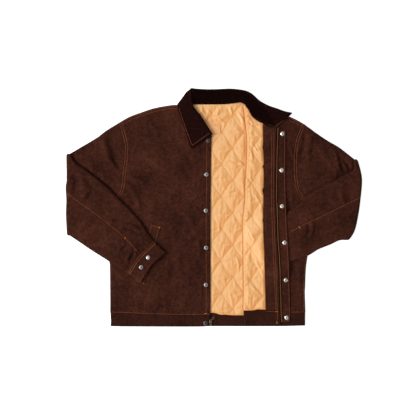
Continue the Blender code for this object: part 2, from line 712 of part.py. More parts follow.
def build_welt_and_label(front):
    corners = {"top": [(-194, -51), (-164, -58)], "bottom": [(-244, -227), (-216, -238)]}
    across, rows = np.linspace(0, 1, 4), np.linspace(0, 1, 12)
    left = np.array([corners["bottom"][0], corners["top"][0]], float)
    right = np.array([corners["bottom"][1], corners["top"][1]], float)
    plan = patch(along(np.array(corners["bottom"], float), across), along(right, rows),
                 along(np.array(corners["top"], float), across), along(left, rows))
    rise = CLOTH / 2 + GAP + 0.8
    on_front = height_on(front)
    z = np.array([[on_front(x, y) for x, y in row] for row in plan]) + rise + 0.1
    wall("pocket_welt_right", raised(plan, z), "canvas", thickness=1.6)

    plan = patch(*(np.array(line, float) for line in (
        [(-56, 229), (-30, 228), (-4, 228), (22, 229)], [(22, 229), (22, 243), (22, 258)],
        [(-56, 258), (-30, 258), (-4, 258), (22, 258)], [(-56, 229), (-56, 243), (-56, 258)])))
    wall("label", raised(plan, LINING_UNDER + LINING + 0.8), "label", thickness=0.9)


# ---------------------------------------------------------------- collar

# One row for each station from the right front's end to the left's: the neck seam A, the roll P and the outer
# edge Q, the height of each, which way is outward in plan, and how far the roll lies outward from straight up
COLLAR = [
    # ax, ay, az, px, py, pz, qx, qy, qz, outward, lies
    (-15, 220, 12.4, -3, 228.5, 14.3, -69, 181, 11.4, 216, -90),
    (-30, 238, 12.2, -16, 248, 14.1, -79, 207, 11.2, 211, -90),
    (-42, 256, 12.0, -27.5, 267, 13.9, -91, 247, 11.0, 203, -90),
    (-58, 276, 11.4, -41.5, 288, 13.4, -106, 289, 11.0, 190, -90),
    (-70, 295, 11.2, -54, 303, 14.2, -112, 308, 11.0, 187, -86),
    (-78, 309, 10.6, -64, 317, 16.0, -113, 320, 8.8, 178, -60),
    (-68, 320.6, 8.6, -68, 333, 17.0, -105, 331, 6.0, 176, -20),
    (-61, 320.8, 6.8, -72.5, 354, 14.0, -93, 347, 3.6, 160, 14),
    (-54, 320.8, 5.8, -71, 369.5, 10.0, -80, 361, 1.9, 128, 46),
    (-42, 320.6, 4.8, -54, 369.5, 6.4, -60, 348, 1.5, 102, 76),
    (-20, 320.6, 4.3, -20, 368, 4.4, -22, 332, 1.4, 90, 90),
    (10, 320.6, 4.3, 12, 368.5, 4.4, 12, 332, 1.4, 90, 90),
    (38, 321.4, 4.8, 48, 370, 4.6, 45, 333, 1.4, 86, 90),
    (62, 324, 6.6, 74, 368, 6.6, 70, 336, 3.2, 80, 90),
    (84, 326, 10.6, 100, 363, 9.4, 90, 337, 6.0, 66, 88),
    (101, 316, 14.0, 119.5, 353, 12.0, 112, 328, 9.6, 54, 88),
    (113, 299, 15.0, 143, 332, 13.0, 132, 312, 10.9, 46, 88),
    (127, 283, 15.2, 170, 317, 13.2, 154, 300, 11.0, 42, 90),
    (146, 270, 15.2, 196, 308, 13.2, 179, 291, 11.0, 44, 90),
    (168, 260, 15.2, 221, 299, 13.2, 203, 281, 11.0, 44, 90),
    (194, 253, 15.2, 245, 294, 13.2, 226, 275, 11.0, 43, 90),
]
ROLL_R = 2.4


def build_collar():
    names = "ax ay az px py pz qx qy qz outward lies".split()
    table = np.array(COLLAR, float)
    column = dict(zip(names, spline(table, 1).T))
    rows = []
    for i in range(len(column["ax"])):
        at = {name: column[name][i] for name in names}
        bearing, lies = math.radians(at["outward"]), math.radians(at["lies"])
        outward = np.array([math.cos(bearing), math.sin(bearing), 0])
        up = np.array([0, 0, 1.0])
        roll = outward * math.sin(lies) + up * math.cos(lies)
        across = outward * math.cos(lies) - up * math.sin(lies)
        seam = np.array([at["ax"], at["ay"], at["az"]])
        edge = np.array([at["qx"], at["qy"], at["qz"]])
        centre = np.array([at["px"], at["py"], at["pz"]]) - roll * (ROLL_R + COLLAR_CLOTH / 2)
        bend = [centre + ROLL_R * (roll * math.sin(t) - across * math.cos(t)) for t in np.radians([0, 45, 90, 135, 180])]
        stand = [seam + (bend[0] - seam) * t for t in (0, 0.4, 0.8)]
        fall = [bend[-1] + (edge - bend[-1]) * np.array([t, t, t * t]) for t in (0.25, 0.6, 1)]
        rows.append(stand + bend + fall)
    wall("collar", np.array(rows), "corduroy", thickness=COLLAR_CLOTH)


# ---------------------------------------------------------------- hard trim


def turned(name, profile, centre, normal, slot, steps=12):
    """A turned piece standing on a surface: profile is (radius, height), on the axis at both ends."""
    mesh = bpy.data.meshes.new(name)
    points = [(r * MM, 0, h * MM) for r, h in reversed(profile)]
    mesh.from_pydata(points, [(k, k + 1) for k in range(len(points) - 1)], [])
    obj = add(mesh, name, slot)
    obj.location = [c * MM for c in centre]
    obj.rotation_mode = "QUATERNION"
    obj.rotation_quaternion = Vector(normal).to_track_quat("Z", "Y")
    spin = obj.modifiers.new("spin", "SCREW")
    spin.steps = spin.render_steps = steps
    spin.use_merge_vertices = True
    spin.merge_threshold = 0.00001
    return obj


SOCKET = [(0, 0), (SNAP_R, 0), (SNAP_R, 1.0), (SNAP_R - 1.6, 1.9), (3.0, 1.1), (0, 0.9)]
STUD = [(0, 0), (SNAP_R - 0.3, 0), (SNAP_R - 0.3, 0.9), (SNAP_R - 1.8, 1.6), (3.2, 1.3), (2.6, 2.6), (0, 2.8)]
CAP = [(0, 0), (SNAP_R - 0.3, 0), (SNAP_R - 0.3, 0.9), (SNAP_R - 2.2, 1.8), (0, 1.9)]


def seated(name, profile, x, y, top):
    """A snap lying on a surface whose height is top(x, y)."""
    east, west = top(x + SNAP_R, y), top(x - SNAP_R, y)
    north, south = top(x, y + SNAP_R), top(x, y - SNAP_R)
    flat = (east + west + north + south) / 4
    normal = (-(east - west) / (2 * SNAP_R), -(north - south) / (2 * SNAP_R), 1)
    turned(name, profile, (x, y, max(flat, top(x, y)) + GAP + 0.25), normal, "steel")


def height_on(middle):
    """Height of a grid of points at x and y, when its rows are nearly level and its columns nearly upright."""

    def height(x, y):
        rows = np.array([[np.interp(x, row[:, 0], row[:, k]) for k in (1, 2)] for row in middle])
        return float(np.interp(y, rows[:, 0], rows[:, 1]))

    return height


def build_snaps(placket):
    sockets = [(213, 229), (211, 116), (211, 4), (219, -108), (223, -224), (226, -341)]
    studs = [(-17, 208), (-22, 103), (-24, -9), (-23, -124), (-24, -239), (-25, -357)]
    on_placket = height_on(placket)

    def on_front(x, y):
        return float(front_level(np.array([x, y]))) + (BAND if y < -332 else CLOTH) / 2

    for i, (x, y) in enumerate(sockets, 1):
        seated("socket_%d" % i, SOCKET, x + 1, y, lambda x, y: on_placket(x, y) + 1.25)
    for i, (x, y) in enumerate(studs, 1):
        seated("stud_%d" % i, STUD, x, y, on_front)
    turned("cuff_cap", CAP, (-202, -154, CUFF_TOP + CLOTH + 0.6 + GAP + 0.1), (0, 0, 1), "steel")
    turned("cuff_stud", STUD, (-224, -184, CUFF_TOP + GAP), (0, 0, 1), "steel")


def united(name, slot, first, *others):
    """One body from several meshes that run into each other."""
    base = bpy.data.objects.new(name + "_base", first)
    JACKET.objects.link(base)
    helpers = [base]
    for mesh in others:
        tool = bpy.data.objects.new(name + "_tool", mesh)
        JACKET.objects.link(tool)
        helpers.append(tool)
        change = base.modifiers.new("join", "BOOLEAN")
        change.operation = "UNION"
        change.solver = "EXACT"
        change.object = tool
    bpy.context.view_layer.update()
    ready = base.evaluated_get(bpy.context.evaluated_depsgraph_get())
    mesh = bpy.data.meshes.new_from_object(ready)
    for helper in helpers:
        bpy.data.objects.remove(helper, do_unlink=True)
    mesh.name = name
    mesh.materials.clear()
    mesh.shade_smooth()
    mesh.set_sharp_from_angle(angle=math.radians(35))
    return add(mesh, name, slot)


def placed(bm, frame):
    """A mesh from a bmesh in millimetres, turned and moved by a frame of (origin, x, y, z)."""
    origin, *axes = (np.array(v, float) for v in frame)
    for vert in bm.verts:
        vert.co = [float(c) * MM for c in origin + sum(axis * vert.co[k] for k, axis in enumerate(axes))]
    bmesh.ops.recalc_face_normals(bm, faces=bm.faces)
    mesh = bpy.data.meshes.new("piece")
    bm.to_mesh(mesh)
    bm.free()
    return mesh


def block(frame, low, high, bevel=0.0):
    bm = bmesh.new()
    bmesh.ops.create_cube(bm, size=1)
    for vert in bm.verts:
        vert.co = [low[k] + (vert.co[k] + 0.5) * (high[k] - low[k]) for k in range(3)]
    if bevel:
        bmesh.ops.bevel(bm, geom=bm.edges[:], offset=bevel, segments=2, profile=0.5, affect="EDGES")
    return placed(bm, frame)


def rod(frame, radius, length, steps=12):
    """A cylinder along the frame's second axis."""
    bm = bmesh.new()
    bmesh.ops.create_cone(bm, cap_ends=True, segments=steps, radius1=radius, radius2=radius, depth=length)
    for vert in bm.verts:
        x, y, z = vert.co
        vert.co = (x, z, y)
    return placed(bm, frame)


def looped(frame, rings):
    """A closed loop of rings of points, as round a washer or a picture frame."""
    bm = bmesh.new()
    made = [[bm.verts.new(point) for point in ring] for ring in rings]
    count = len(rings[0])
    for a, b in zip(made, made[1:] + made[:1]):
        for k in range(count):
            bm.faces.new([a[k], a[(k + 1) % count], b[(k + 1) % count], b[k]])
    return placed(bm, frame)


PULL_PIVOT = (-9.0, -350.5, 9.85)
PULL_BEARING = 47.0


def build_zip_ends():
    """Retainer box and slider, with the slider's bail, and the pull that turns about the bail."""
    flat = ((0, 0, 0), (1, 0, 0), (0, 1, 0), (0, 0, 1))
    turn = math.radians(PULL_BEARING)
    along_pull = (math.cos(turn), math.sin(turn), 0)
    along_bail = (-math.sin(turn), math.cos(turn), 0)
    hinge = (PULL_PIVOT, along_pull, along_bail, (0, 0, 1))

    united("zip_slider", "brass", block(flat, (-12.7, -358.5, 3.5), (-4.1, -347.5, 7.9), 1.2),
           block(hinge, (-0.5, -2.7, -2.6), (0.5, -1.7, 0.5)), block(hinge, (-0.5, 1.7, -2.6), (0.5, 2.7, 0.5)),
           rod(hinge, 0.5, 5.0))
    add(block(flat, (-11.4, -367.0, 3.5), (-5.4, -360.0, 6.9), 0.8), "zip_box", "brass")

    frame = [(5.0, 0.0), (10.0, 4.6), (17.5, 0.0), (10.0, -4.6)]
    middle = np.mean(frame, axis=0)
    diamond = [[(*(middle + (np.array(p) - middle) * share), z) for p in frame]
               for share, z in ((1.0, -0.5), (1.0, 0.5), (0.58, 0.5), (0.58, -0.5))]
    eye = [[(r * math.cos(math.pi * k / 8), y, r * math.sin(math.pi * k / 8)) for k in range(16)]
           for r, y in ((1.6, -1.3), (1.6, 1.3), (0.9, 1.3), (0.9, -1.3))]
    pull = united("zip_pull", "brass", looped(hinge, eye), block(hinge, (1.2, -1.1, -0.5), (7.0, 1.1, 0.5)),
                  looped(hinge, diamond))
    pull.data.transform(Matrix.Translation([-c * MM for c in PULL_PIVOT]))
    pull.location = [c * MM for c in PULL_PIVOT]


# ---------------------------------------------------------------- the jacket

for startup in list(bpy.data.objects):
    bpy.data.objects.remove(startup, do_unlink=True)
JACKET = bpy.data.collections.new("work_jacket")
bpy.context.scene.collection.children.link(JACKET)

build_back()
build_lining_back()
front_middle = build_front_right()
build_left_inside(*build_front_left())
for side_name, sleeve_shape, arm_table, fore_table in (
    ("right", SLEEVE_R, FOLDS_SLEEVE_R, FOLDS_FOREARM_R),
    ("left", SLEEVE_L, FOLDS_SLEEVE_L, FOLDS_FOREARM_L),
):
    wrist = build_sleeve(side_name, sleeve_shape, arm_table, fore_table)
    if side_name == "left":
        build_cuff_left(sleeve_shape, wrist)
    else:
        build_cuff_right(sleeve_shape)
build_hem()
placket_middle = build_placket()
build_tapes()
build_welt_and_label(front_middle)
build_collar()
build_snaps(placket_middle)
build_zip_ends()
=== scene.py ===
"""Looks of the lined work jacket, laid open on its back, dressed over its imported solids.

Tables are in millimetres, in the part's own frame: +X to the right of somebody looking down at it, +Y from hem to
collar, +Z up. "Right" and "left" are the wearer's, so the right front lies at -X.
"""

import math

import bpy
import numpy as np
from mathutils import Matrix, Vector
from mathutils.bvhtree import BVHTree


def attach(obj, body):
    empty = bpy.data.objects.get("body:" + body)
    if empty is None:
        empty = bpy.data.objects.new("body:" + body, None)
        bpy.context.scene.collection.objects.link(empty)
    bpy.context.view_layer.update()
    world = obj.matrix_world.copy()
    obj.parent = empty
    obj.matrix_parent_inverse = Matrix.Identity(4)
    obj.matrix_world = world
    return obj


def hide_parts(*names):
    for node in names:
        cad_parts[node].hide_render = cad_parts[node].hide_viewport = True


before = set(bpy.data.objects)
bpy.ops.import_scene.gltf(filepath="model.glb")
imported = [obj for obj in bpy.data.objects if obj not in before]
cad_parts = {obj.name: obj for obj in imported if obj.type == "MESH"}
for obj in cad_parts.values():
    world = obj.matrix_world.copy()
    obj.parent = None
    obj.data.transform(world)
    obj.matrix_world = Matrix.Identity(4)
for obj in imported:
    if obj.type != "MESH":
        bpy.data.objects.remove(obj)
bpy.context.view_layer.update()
MM = 0.001
CELL = 3.3  # of the cloth's grids

# Cloth and how closely it lies
CLOTH = 2.4  # shell wall: canvas with the padding quilted to its back
LINING = 2.0
FACING = 1.5
TAPE = 0.8
BAND = 3.0  # hem band, of doubled cloth
COLLAR_CLOTH = 2.4
GAP = 0.35  # between pieces that lie on each other
SEAM_GAP = 0.06  # between pieces sewn edge to edge
PLACKET = 2.5
LABEL_CLOTH = 0.9
WELT_HALF = 0.8  # half the pocket welt's thickness
EDGE_ROUND = 9.0  # width over which a seamed or folded edge rounds down
THIN_EDGE = 0.35  # share of a wall's thickness that is left right at a free edge
RIM_CELLS = (0.35, 1.3)  # how far in from a free edge its two narrow cells end
RIM_CLEAR = 2.2  # and how far in the ordinary cells begin
IN_SEAM = 0.02  # plan points nearer than this to a seam stand in it
DEEPEST = -4.4  # of a sleeve's creases
SHARP = math.radians(60)  # mesh edges that turn more than this are not smoothed
UP = np.array([0, 0, 1.0])

# Heights of the middle of each layer
BACK_MID = CLOTH / 2
FRONT_MID = 7.45
SEAM_MID = (BACK_MID + FRONT_MID) / 2  # where front and back meet at the side
HALF_TUBE = (FRONT_MID - BACK_MID) / 2
LINING_UNDER = CLOTH + GAP
CENTRE_LIFT = 1.5  # the fronts rise over the thick quilting at the opening
HEM_DIP = 2.6  # and come down again where the lining ends
FOREARM_MID = 15.4
CUFF_TOP = FOREARM_MID + HALF_TUBE + CLOTH / 2

# Quilting
DIAMOND_WIDE = 70.0
DIAMOND_TALL = 100.0
DIAMOND_CORNER = (59.5, -315.0)
PUFF = 3.0


# ---------------------------------------------------------------- lines and grids in plan


def spline(points, fineness=16):
    """A dense line through the points, smooth where it passes each one."""
    pts = np.array(points, float)
    ends = np.vstack([2 * pts[0] - pts[1], pts, 2 * pts[-1] - pts[-2]])
    line = [pts[0]]
    for i in range(1, len(ends) - 2):
        p0, p1, p2, p3 = ends[i - 1 : i + 3]
        for step in range(1, fineness + 1):
            t = step / fineness
            line.append(
                0.5 * (2 * p1 + (p2 - p0) * t + (2 * p0 - 5 * p1 + 4 * p2 - p3) * t**2
                       + (3 * p1 - p0 - 3 * p2 + p3) * t**3)
            )
    return np.array(line)


def shares_of(line):
    """How far along the line each of its points is, from 0 to 1."""
    steps = np.linalg.norm(np.diff(line, axis=0), axis=1)
    return np.concatenate([[0], np.cumsum(steps)]) / steps.sum()


def length_of(line):
    return np.linalg.norm(np.diff(line, axis=0), axis=1).sum()


def along(line, shares):
    """The points of a line at these shares of its length."""
    own = shares_of(line)
    return np.stack([np.interp(shares, own, line[:, k]) for k in range(line.shape[1])], axis=1)


NEAR = EDGE_ROUND * np.array([0, 0.05, 0.17, 0.37, 0.65, 1.0])


def stops(length, count, round_start, round_end):
    """Shares of a length for count cells, with narrow cells more at each end that rounds down."""
    start = NEAR if round_start else [0]
    end = length - NEAR[::-1] if round_end else [length]
    middle = np.linspace(start[-1], end[0], count + 1)[1:-1]
    return np.concatenate([start, middle, end]) / length


def cells(length, size=CELL):
    return max(2, round(length / size))


def sampled(points, count, round_start=False, round_end=False):
    line = spline(points)
    return along(line, stops(length_of(line), count, round_start, round_end))


def join(*lines):
    """Lines that follow each other, with each shared point kept once."""
    return np.vstack([lines[0]] + [line[1:] for line in lines[1:]])


def patch(bottom, right, top, left):
    """Plan points of a four-sided panel between its edges. Rows run from bottom to top."""
    u = (shares_of(bottom) + shares_of(top)) / 2
    v = (shares_of(left) + shares_of(right)) / 2
    u, v = u[None, :, None], v[:, None, None]
    ruled = (1 - v) * bottom[None] + v * top[None] + (1 - u) * left[:, None] + u * right[:, None]
    corners = (1 - v) * ((1 - u) * bottom[0] + u * bottom[-1]) + v * ((1 - u) * top[0] + u * top[-1])
    return ruled - corners


def traced(plan, line):
    """For each plan point: how far it is from a line, and how far along the line, from 0 to 1, it is nearest."""
    points = np.asarray(plan, float)[..., :2].reshape(-1, 2)
    own = shares_of(line)
    best, share = np.full(len(points), 1e9), np.zeros(len(points))
    for k in range(len(line) - 1):
        step = line[k + 1, :2] - line[k, :2]
        t = np.clip((points - line[k, :2]) @ step / max(step @ step, 1e-9), 0, 1)
        off = points - line[k, :2] - t[:, None] * step
        away = np.hypot(off[:, 0], off[:, 1])
        closer = away < best
        best[closer] = away[closer]
        share[closer] = (own[k] + t * (own[k + 1] - own[k]))[closer]
    shape = np.shape(plan)[:-1]
    return best.reshape(shape), share.reshape(shape)


def distance(plan, line):
    return traced(plan, line)[0]


def beside(line, offset):
    """A line moved to its own left by an offset."""
    run = np.gradient(line, axis=0)
    run /= np.linalg.norm(run, axis=1, keepdims=True)
    return line + offset * np.stack([-run[:, 1], run[:, 0]], axis=1)


# ---------------------------------------------------------------- heights


def smooth(share):
    share = np.clip(share, 0, 1)
    return share * share * (3 - 2 * share)


def bell(off):
    """1 where off is 0, dying away to nothing by about 2 on either side."""
    return np.exp(-(off**2))


def rounded(inset):
    """0 on a seamed edge and 1 once the wall has rounded over, as a quarter ellipse."""
    return np.sqrt(1 - (1 - np.clip(inset / EDGE_ROUND, 0, 1)) ** 2)


def folds(plan, table):
    """Height of soft ridges (and troughs, where negative): one for each row of the table."""
    lift = np.zeros(plan.shape[:-1])
    for x, y, angle, length, width, height in table:
        turn = math.radians(angle)
        dx, dy = plan[..., 0] - x, plan[..., 1] - y
        far = (dx * math.cos(turn) + dy * math.sin(turn)) / (length / 2)
        off = (dy * math.cos(turn) - dx * math.sin(turn)) / width
        lift += height * bell(off) * np.clip(1 - far**2, 0, 1) ** 2
    return lift


def creases(plan, table, gain=1.0):
    """Height of creases along curves: rows of (half width, height, point, point, ...), each dying away at its ends."""
    lift = np.zeros(plan.shape[:-1])
    for width, height, *points in table:
        away, share = traced(plan, spline(points, 5))
        lift += gain * height * bell(away / width) * np.clip(4 * share * (1 - share), 0, 1) ** 0.7
    return lift


def grooves(plan, lines, width=2.2, depth=0.55):
    """How far sewing pulls the cloth down along its lines."""
    sunk = np.zeros(plan.shape[:-1])
    for line in lines:
        sunk = np.maximum(sunk, depth * bell(distance(plan, line) / width))
    return -sunk


def field(plan, size, seed, stretch=(1.0, 1.0)):
    """Smooth random waves of about that size in plan, from -1 to 1 nearly everywhere."""
    rng = np.random.default_rng(seed)
    total = np.zeros(plan.shape[:-1])
    count = 14
    for _ in range(count):
        turn, phase = rng.uniform(0, math.tau, 2)
        wave = math.tau / (size * rng.uniform(0.75, 1.7))
        total += np.sin(wave * (plan[..., 0] / stretch[0] * math.cos(turn) + plan[..., 1] / stretch[1] * math.sin(turn))
                        + phase)
    return total / math.sqrt(count) / 1.4


def front_level(plan):
    """Middle of a front where it lies flat over the back."""
    x, y = plan[..., 0], plan[..., 1]
    lift = CENTRE_LIFT * smooth((x + 75) / 50) * smooth((125 - x) / 28)
    return FRONT_MID + lift - HEM_DIP * smooth((-322 - y) / 42)


def satin(plan, seed):
    """Rise of quilted satin: the diamonds' puff, puckers that fan out from their corners, and crumples between."""
    x = (plan[..., 0] - DIAMOND_CORNER[0]) / DIAMOND_WIDE
    y = (plan[..., 1] - DIAMOND_CORNER[1]) / DIAMOND_TALL
    wander = 0.035 * field(plan, 90, seed + 5)
    a, b = x + y + wander, x - y + wander
    seam = np.abs(np.sin(math.pi * a) * np.sin(math.pi * b))
    ra, rb = np.round(a), np.round(b)
    dx = plan[..., 0] - DIAMOND_CORNER[0] - (ra + rb) / 2 * DIAMOND_WIDE
    dy = plan[..., 1] - DIAMOND_CORNER[1] - (ra - rb) / 2 * DIAMOND_TALL
    r, turn = np.hypot(dx, dy * 0.8), np.arctan2(dy, dx)
    phase = 12.9 * ra + 78.2 * rb + seed
    fan = np.cos(6 * turn + phase) + 0.7 * np.cos(11 * turn + 2.3 * phase)
    fan = fan * bell((r - 15) / 13) * smooth(r / 8)
    crumple = 1 - np.abs(field(plan, 30, seed, (0.75, 1.5))) * 1.6
    small = 1 - np.abs(field(plan, 17, seed + 1, (0.8, 1.4))) * 1.5
    rise = np.sqrt(seam)
    return PUFF * rise * (0.62 + 0.17 * fan + 0.17 * crumple + 0.07 * small), seam


# ---------------------------------------------------------------- cloth


PIECES = {}


def normals_of(middle, closed):
    """Unit normal at each point of a grid of points, whose columns close on themselves if closed."""
    if closed:
        across = np.roll(middle, -1, axis=1) - np.roll(middle, 1, axis=1)
    else:
        across = np.gradient(middle, axis=1)
    up = np.gradient(middle, axis=0)
    normal = np.cross(across, up)
    return normal / np.maximum(np.linalg.norm(normal, axis=2, keepdims=True), 1e-9)


def raised(plan, height):
    return np.concatenate([plan, np.broadcast_to(height, plan.shape[:-1])[..., None]], axis=-1)


def rim_of(plan, sides, radius=1.3):
    """Share of the wall's thickness that is left at each point as it rounds over at the free sides of its grid."""
    def inset(grid):
        steps = np.linalg.norm(np.diff(grid, axis=0), axis=2)
        return np.concatenate([np.zeros((1, grid.shape[1])), np.cumsum(steps, axis=0)])

    nearest = np.full(plan.shape[:2], 1e9)
    turned = plan.transpose(1, 0, 2)
    for side, away in (("b", lambda: inset(plan)), ("t", lambda: inset(plan[::-1])[::-1]),
                       ("l", lambda: inset(turned).T), ("r", lambda: inset(turned[::-1])[::-1].T)):
        if side in sides:
            nearest = np.minimum(nearest, away())
    return THIN_EDGE + (1 - THIN_EDGE) * np.sqrt(1 - (1 - np.clip(nearest / radius, 0, 1)) ** 2)


def hemmed(shares, length, start=True, end=True):
    """Shares of a length with two narrow cells more at each free edge, for the edge to round over."""
    first, second = (cell / length for cell in RIM_CELLS)
    inner = [s for s in shares if (not start or s * length > RIM_CLEAR) and (not end or (1 - s) * length > RIM_CLEAR)]
    before = [0, first, second] if start else []
    after = [1 - second, 1 - first, 1] if end else []
    return np.concatenate([before, inner, after])


def mesh_of(name, points, faces, uv=None):
    mesh = bpy.data.meshes.new(name)
    mesh.from_pydata(points, [], faces)
    if uv is not None:
        mesh.uv_layers.new(name="cloth").data.foreach_set("uv", np.asarray(uv, np.float32).ravel())
    mesh.update()
    return mesh


def placed(name, data):
    obj = bpy.data.objects.new(name, data)
    bpy.context.scene.collection.objects.link(obj)
    return obj


def wall(name, middle, material, thickness=CLOTH, low=None, high=None, closed=False, normal=None, seam=None, rim=None,
         marks=None):
    """A thin closed wall of cloth about a grid of points: from low to high along the grid's normals."""
    low = -thickness / 2 if low is None else low
    high = thickness / 2 if high is None else high
    rows, columns = middle.shape[:2]
    normal = normals_of(middle, closed) if normal is None else normal
    if seam is not None:
        normal[seam, 2] = 0
        normal /= np.linalg.norm(normal, axis=2, keepdims=True)
    low, high = (np.broadcast_to(h, (rows, columns)).astype(float) for h in (low, high))
    if rim is not None:
        centre = (low + high) / 2
        low, high = centre + (low - centre) * rim, centre + (high - centre) * rim
    points = np.concatenate([(middle + normal * h[..., None]).reshape(-1, 3) for h in (low, high)]) * MM
    upper = rows * columns

    ring = np.concatenate([middle, middle[:, :1]], axis=1) if closed else middle
    steps = np.linalg.norm(np.diff(ring, axis=1), axis=2)
    u = np.concatenate([np.zeros((rows, 1)), np.cumsum(steps, axis=1)], axis=1)
    steps = np.linalg.norm(np.diff(ring, axis=0), axis=2)
    v = np.concatenate([np.zeros((1, ring.shape[1])), np.cumsum(steps, axis=0)], axis=0)
    uv = np.stack([u, v], axis=2) * MM

    r, c = np.meshgrid(np.arange(rows - 1), np.arange(columns if closed else columns - 1), indexing="ij")
    corners = [(r, c), (r, c + 1), (r + 1, c + 1), (r + 1, c)]
    quads = np.stack([a * columns + b % columns for a, b in corners], axis=2).reshape(-1, 4)
    laid = np.stack([uv[a, b] for a, b in corners], axis=2).reshape(-1, 4, 2)
    span = np.arange(columns if closed else columns - 1)
    ends = [(0 * span, span, 0 * span, span + 1), (0 * span + rows - 1, span + 1, 0 * span + rows - 1, span)]
    if not closed:
        rise = np.arange(rows - 1)
        ends += [(rise, 0 * rise + columns - 1, rise + 1, 0 * rise + columns - 1), (rise + 1, 0 * rise, rise, 0 * rise)]
    rims, rim_uv = [], []
    for ra, ca, rb, cb in ends:
        a, b = ra * columns + ca % columns, rb * columns + cb % columns
        rims.append(np.stack([a, b, upper + b, upper + a], axis=1))
        rim_uv.append(np.stack([uv[ra, ca], uv[rb, cb], uv[rb, cb], uv[ra, ca]], axis=1))
    faces = np.concatenate([quads[:, ::-1], quads + upper] + rims)
    mesh = mesh_of(name, points, faces, np.concatenate([laid[:, ::-1], laid] + rim_uv))
    mesh.materials.append(material)
    if marks is not None:
        mark = mesh.attributes.new("mark", "FLOAT", "POINT")
        mark.data.foreach_set("value", np.tile(np.broadcast_to(marks, (rows, columns)).ravel(), 2).astype(np.float32))
    mesh.shade_smooth()
    mesh.set_sharp_from_angle(angle=SHARP)
    obj = PIECES[name] = placed(name, mesh)
    width = np.linalg.norm(np.diff(ring, axis=1), axis=2).sum(1).max() * MM
    length = np.linalg.norm(np.diff(ring, axis=0), axis=2).sum(0).max() * MM
    across, up = np.diff(ring, axis=1)[:-1], np.diff(ring, axis=0)[:, :-1]
    obj["cut"] = [width, length, float(np.linalg.norm(np.cross(across, up), axis=2).sum()) * MM * MM]
    return obj


NARROWEST_SHEET = 0.01


def dress(name, node):
    """Attaches a piece of cloth to the garment in place of the CAD node that it stands for, which is hidden."""
    obj = PIECES[name]
    width, length, area = obj["cut"]
    del obj["cut"]
    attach(obj, "garment")
    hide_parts(node)
    if width < NARROWEST_SHEET:  # a narrow woven tape, and no sheet
        return
    width, length = round(width, 3), round(length, 3)


# ---------------------------------------------------------------- materials


def node(tree, kind, inputs=(), **props):
    made = tree.nodes.new("ShaderNode" + kind)
    for key, value in props.items():
        setattr(made, key, value)
    for key, value in dict(inputs).items():
        if isinstance(value, bpy.types.NodeSocket):
            tree.links.new(value, made.inputs[key])
        else:
            made.inputs[key].default_value = value
    return made


def blank(name, **sockets):
    made = bpy.data.materials.new(name)
    made.use_nodes = True
    shader = made.node_tree.nodes["Principled BSDF"]
    for key, value in sockets.items():
        shader.inputs[key.replace("_", " ")].default_value = value
    return made, made.node_tree, shader


def mixed(tree, share, a, b):
    made = node(tree, "Mix", {0: share}, data_type="RGBA")
    for socket, value in ((made.inputs[6], a), (made.inputs[7], b)):
        if isinstance(value, bpy.types.NodeSocket):
            tree.links.new(value, socket)
        else:
            socket.default_value = (*value, 1)
    return made.outputs[2]


def ramp(tree, value, low, high, to_low=0.0, to_high=1.0):
    limits = {"From Min": low, "From Max": high, "To Min": to_low, "To Max": to_high}
    return node(tree, "MapRange", {"Value": value, **limits}, interpolation_type="SMOOTHSTEP").outputs["Result"]


def bands(tree, vector, period, direction):
    """Even waves of a period in metres across a cloth's own coordinates."""
    inputs = {"Vector": vector, "Scale": math.tau / 20 / period, "Distortion": 0.6, "Detail": 1.0}
    return node(tree, "TexWave", inputs, wave_type="BANDS", bands_direction=direction).outputs["Fac"]


def noise(tree, vector, size, detail, rough=0.55):
    inputs = {"Vector": vector, "Scale": 1 / size, "Detail": detail, "Roughness": rough}
    return node(tree, "TexNoise", inputs).outputs["Fac"]


def summed(tree, *terms):
    """Weighted sum of (socket, weight)."""
    total = None
    for socket, weight in terms:
        part = node(tree, "Math", {0: socket, 1: weight}, operation="MULTIPLY").outputs[0]
        total = part if total is None else node(tree, "Math", {0: total, 1: part}, operation="ADD").outputs[0]
    return total


def emboss(tree, shader, height, strength, distance):
    """Fine relief on a material. Returns the normal it leaves."""
    normal = node(tree, "Bump", {"Height": height, "Strength": strength, "Distance": distance}).outputs["Normal"]
    tree.links.new(normal, shader.inputs["Normal"])
    return normal


def cloth_of(tree):
    return node(tree, "UVMap", uv_map="cloth").outputs["UV"]


def place_in(tree):
    return node(tree, "TexCoord").outputs["Object"]


def mark_of(tree):
    return node(tree, "Attribute", attribute_name="mark").outputs["Fac"]


def woven(name, colour, dark, light, period=0.00095, raised_by=0.00022, roughness=0.86):
    """Plain-woven cloth: crossed yarns, slubs, and a little unevenness of dye."""
    made, tree, shader = blank(name, Roughness=roughness, Specular_IOR_Level=0.07)
    uv, place = cloth_of(tree), place_in(tree)
    warp, weft = bands(tree, uv, period, "X"), bands(tree, uv, period * 1.12, "Y")
    slub = noise(tree, uv, 0.0026, 2.0)
    grain = noise(tree, uv, 0.0042, 3.0, 0.7)
    dye = noise(tree, place, 0.011, 4.0, 0.65)
    wash = noise(tree, place, 0.085, 3.0)
    tone = summed(tree, (grain, 0.40), (dye, 0.32), (wash, 0.28))
    shade = mixed(tree, ramp(tree, tone, 0.41, 0.50), dark, colour)
    shade = mixed(tree, ramp(tree, tone, 0.50, 0.59), shade, light)
    yarn = summed(tree, (warp, 0.5), (weft, 0.5))
    # painted shade: darker in the gaps between the crossed yarns
    shade = mixed(tree, ramp(tree, yarn, 0.1, 0.5, 0.25, 0.0), shade, [c * 0.55 for c in dark])
    tree.links.new(shade, shader.inputs["Base Color"])
    emboss(tree, shader, summed(tree, (yarn, 1.0), (slub, 0.9)), 0.55, raised_by)
    return made


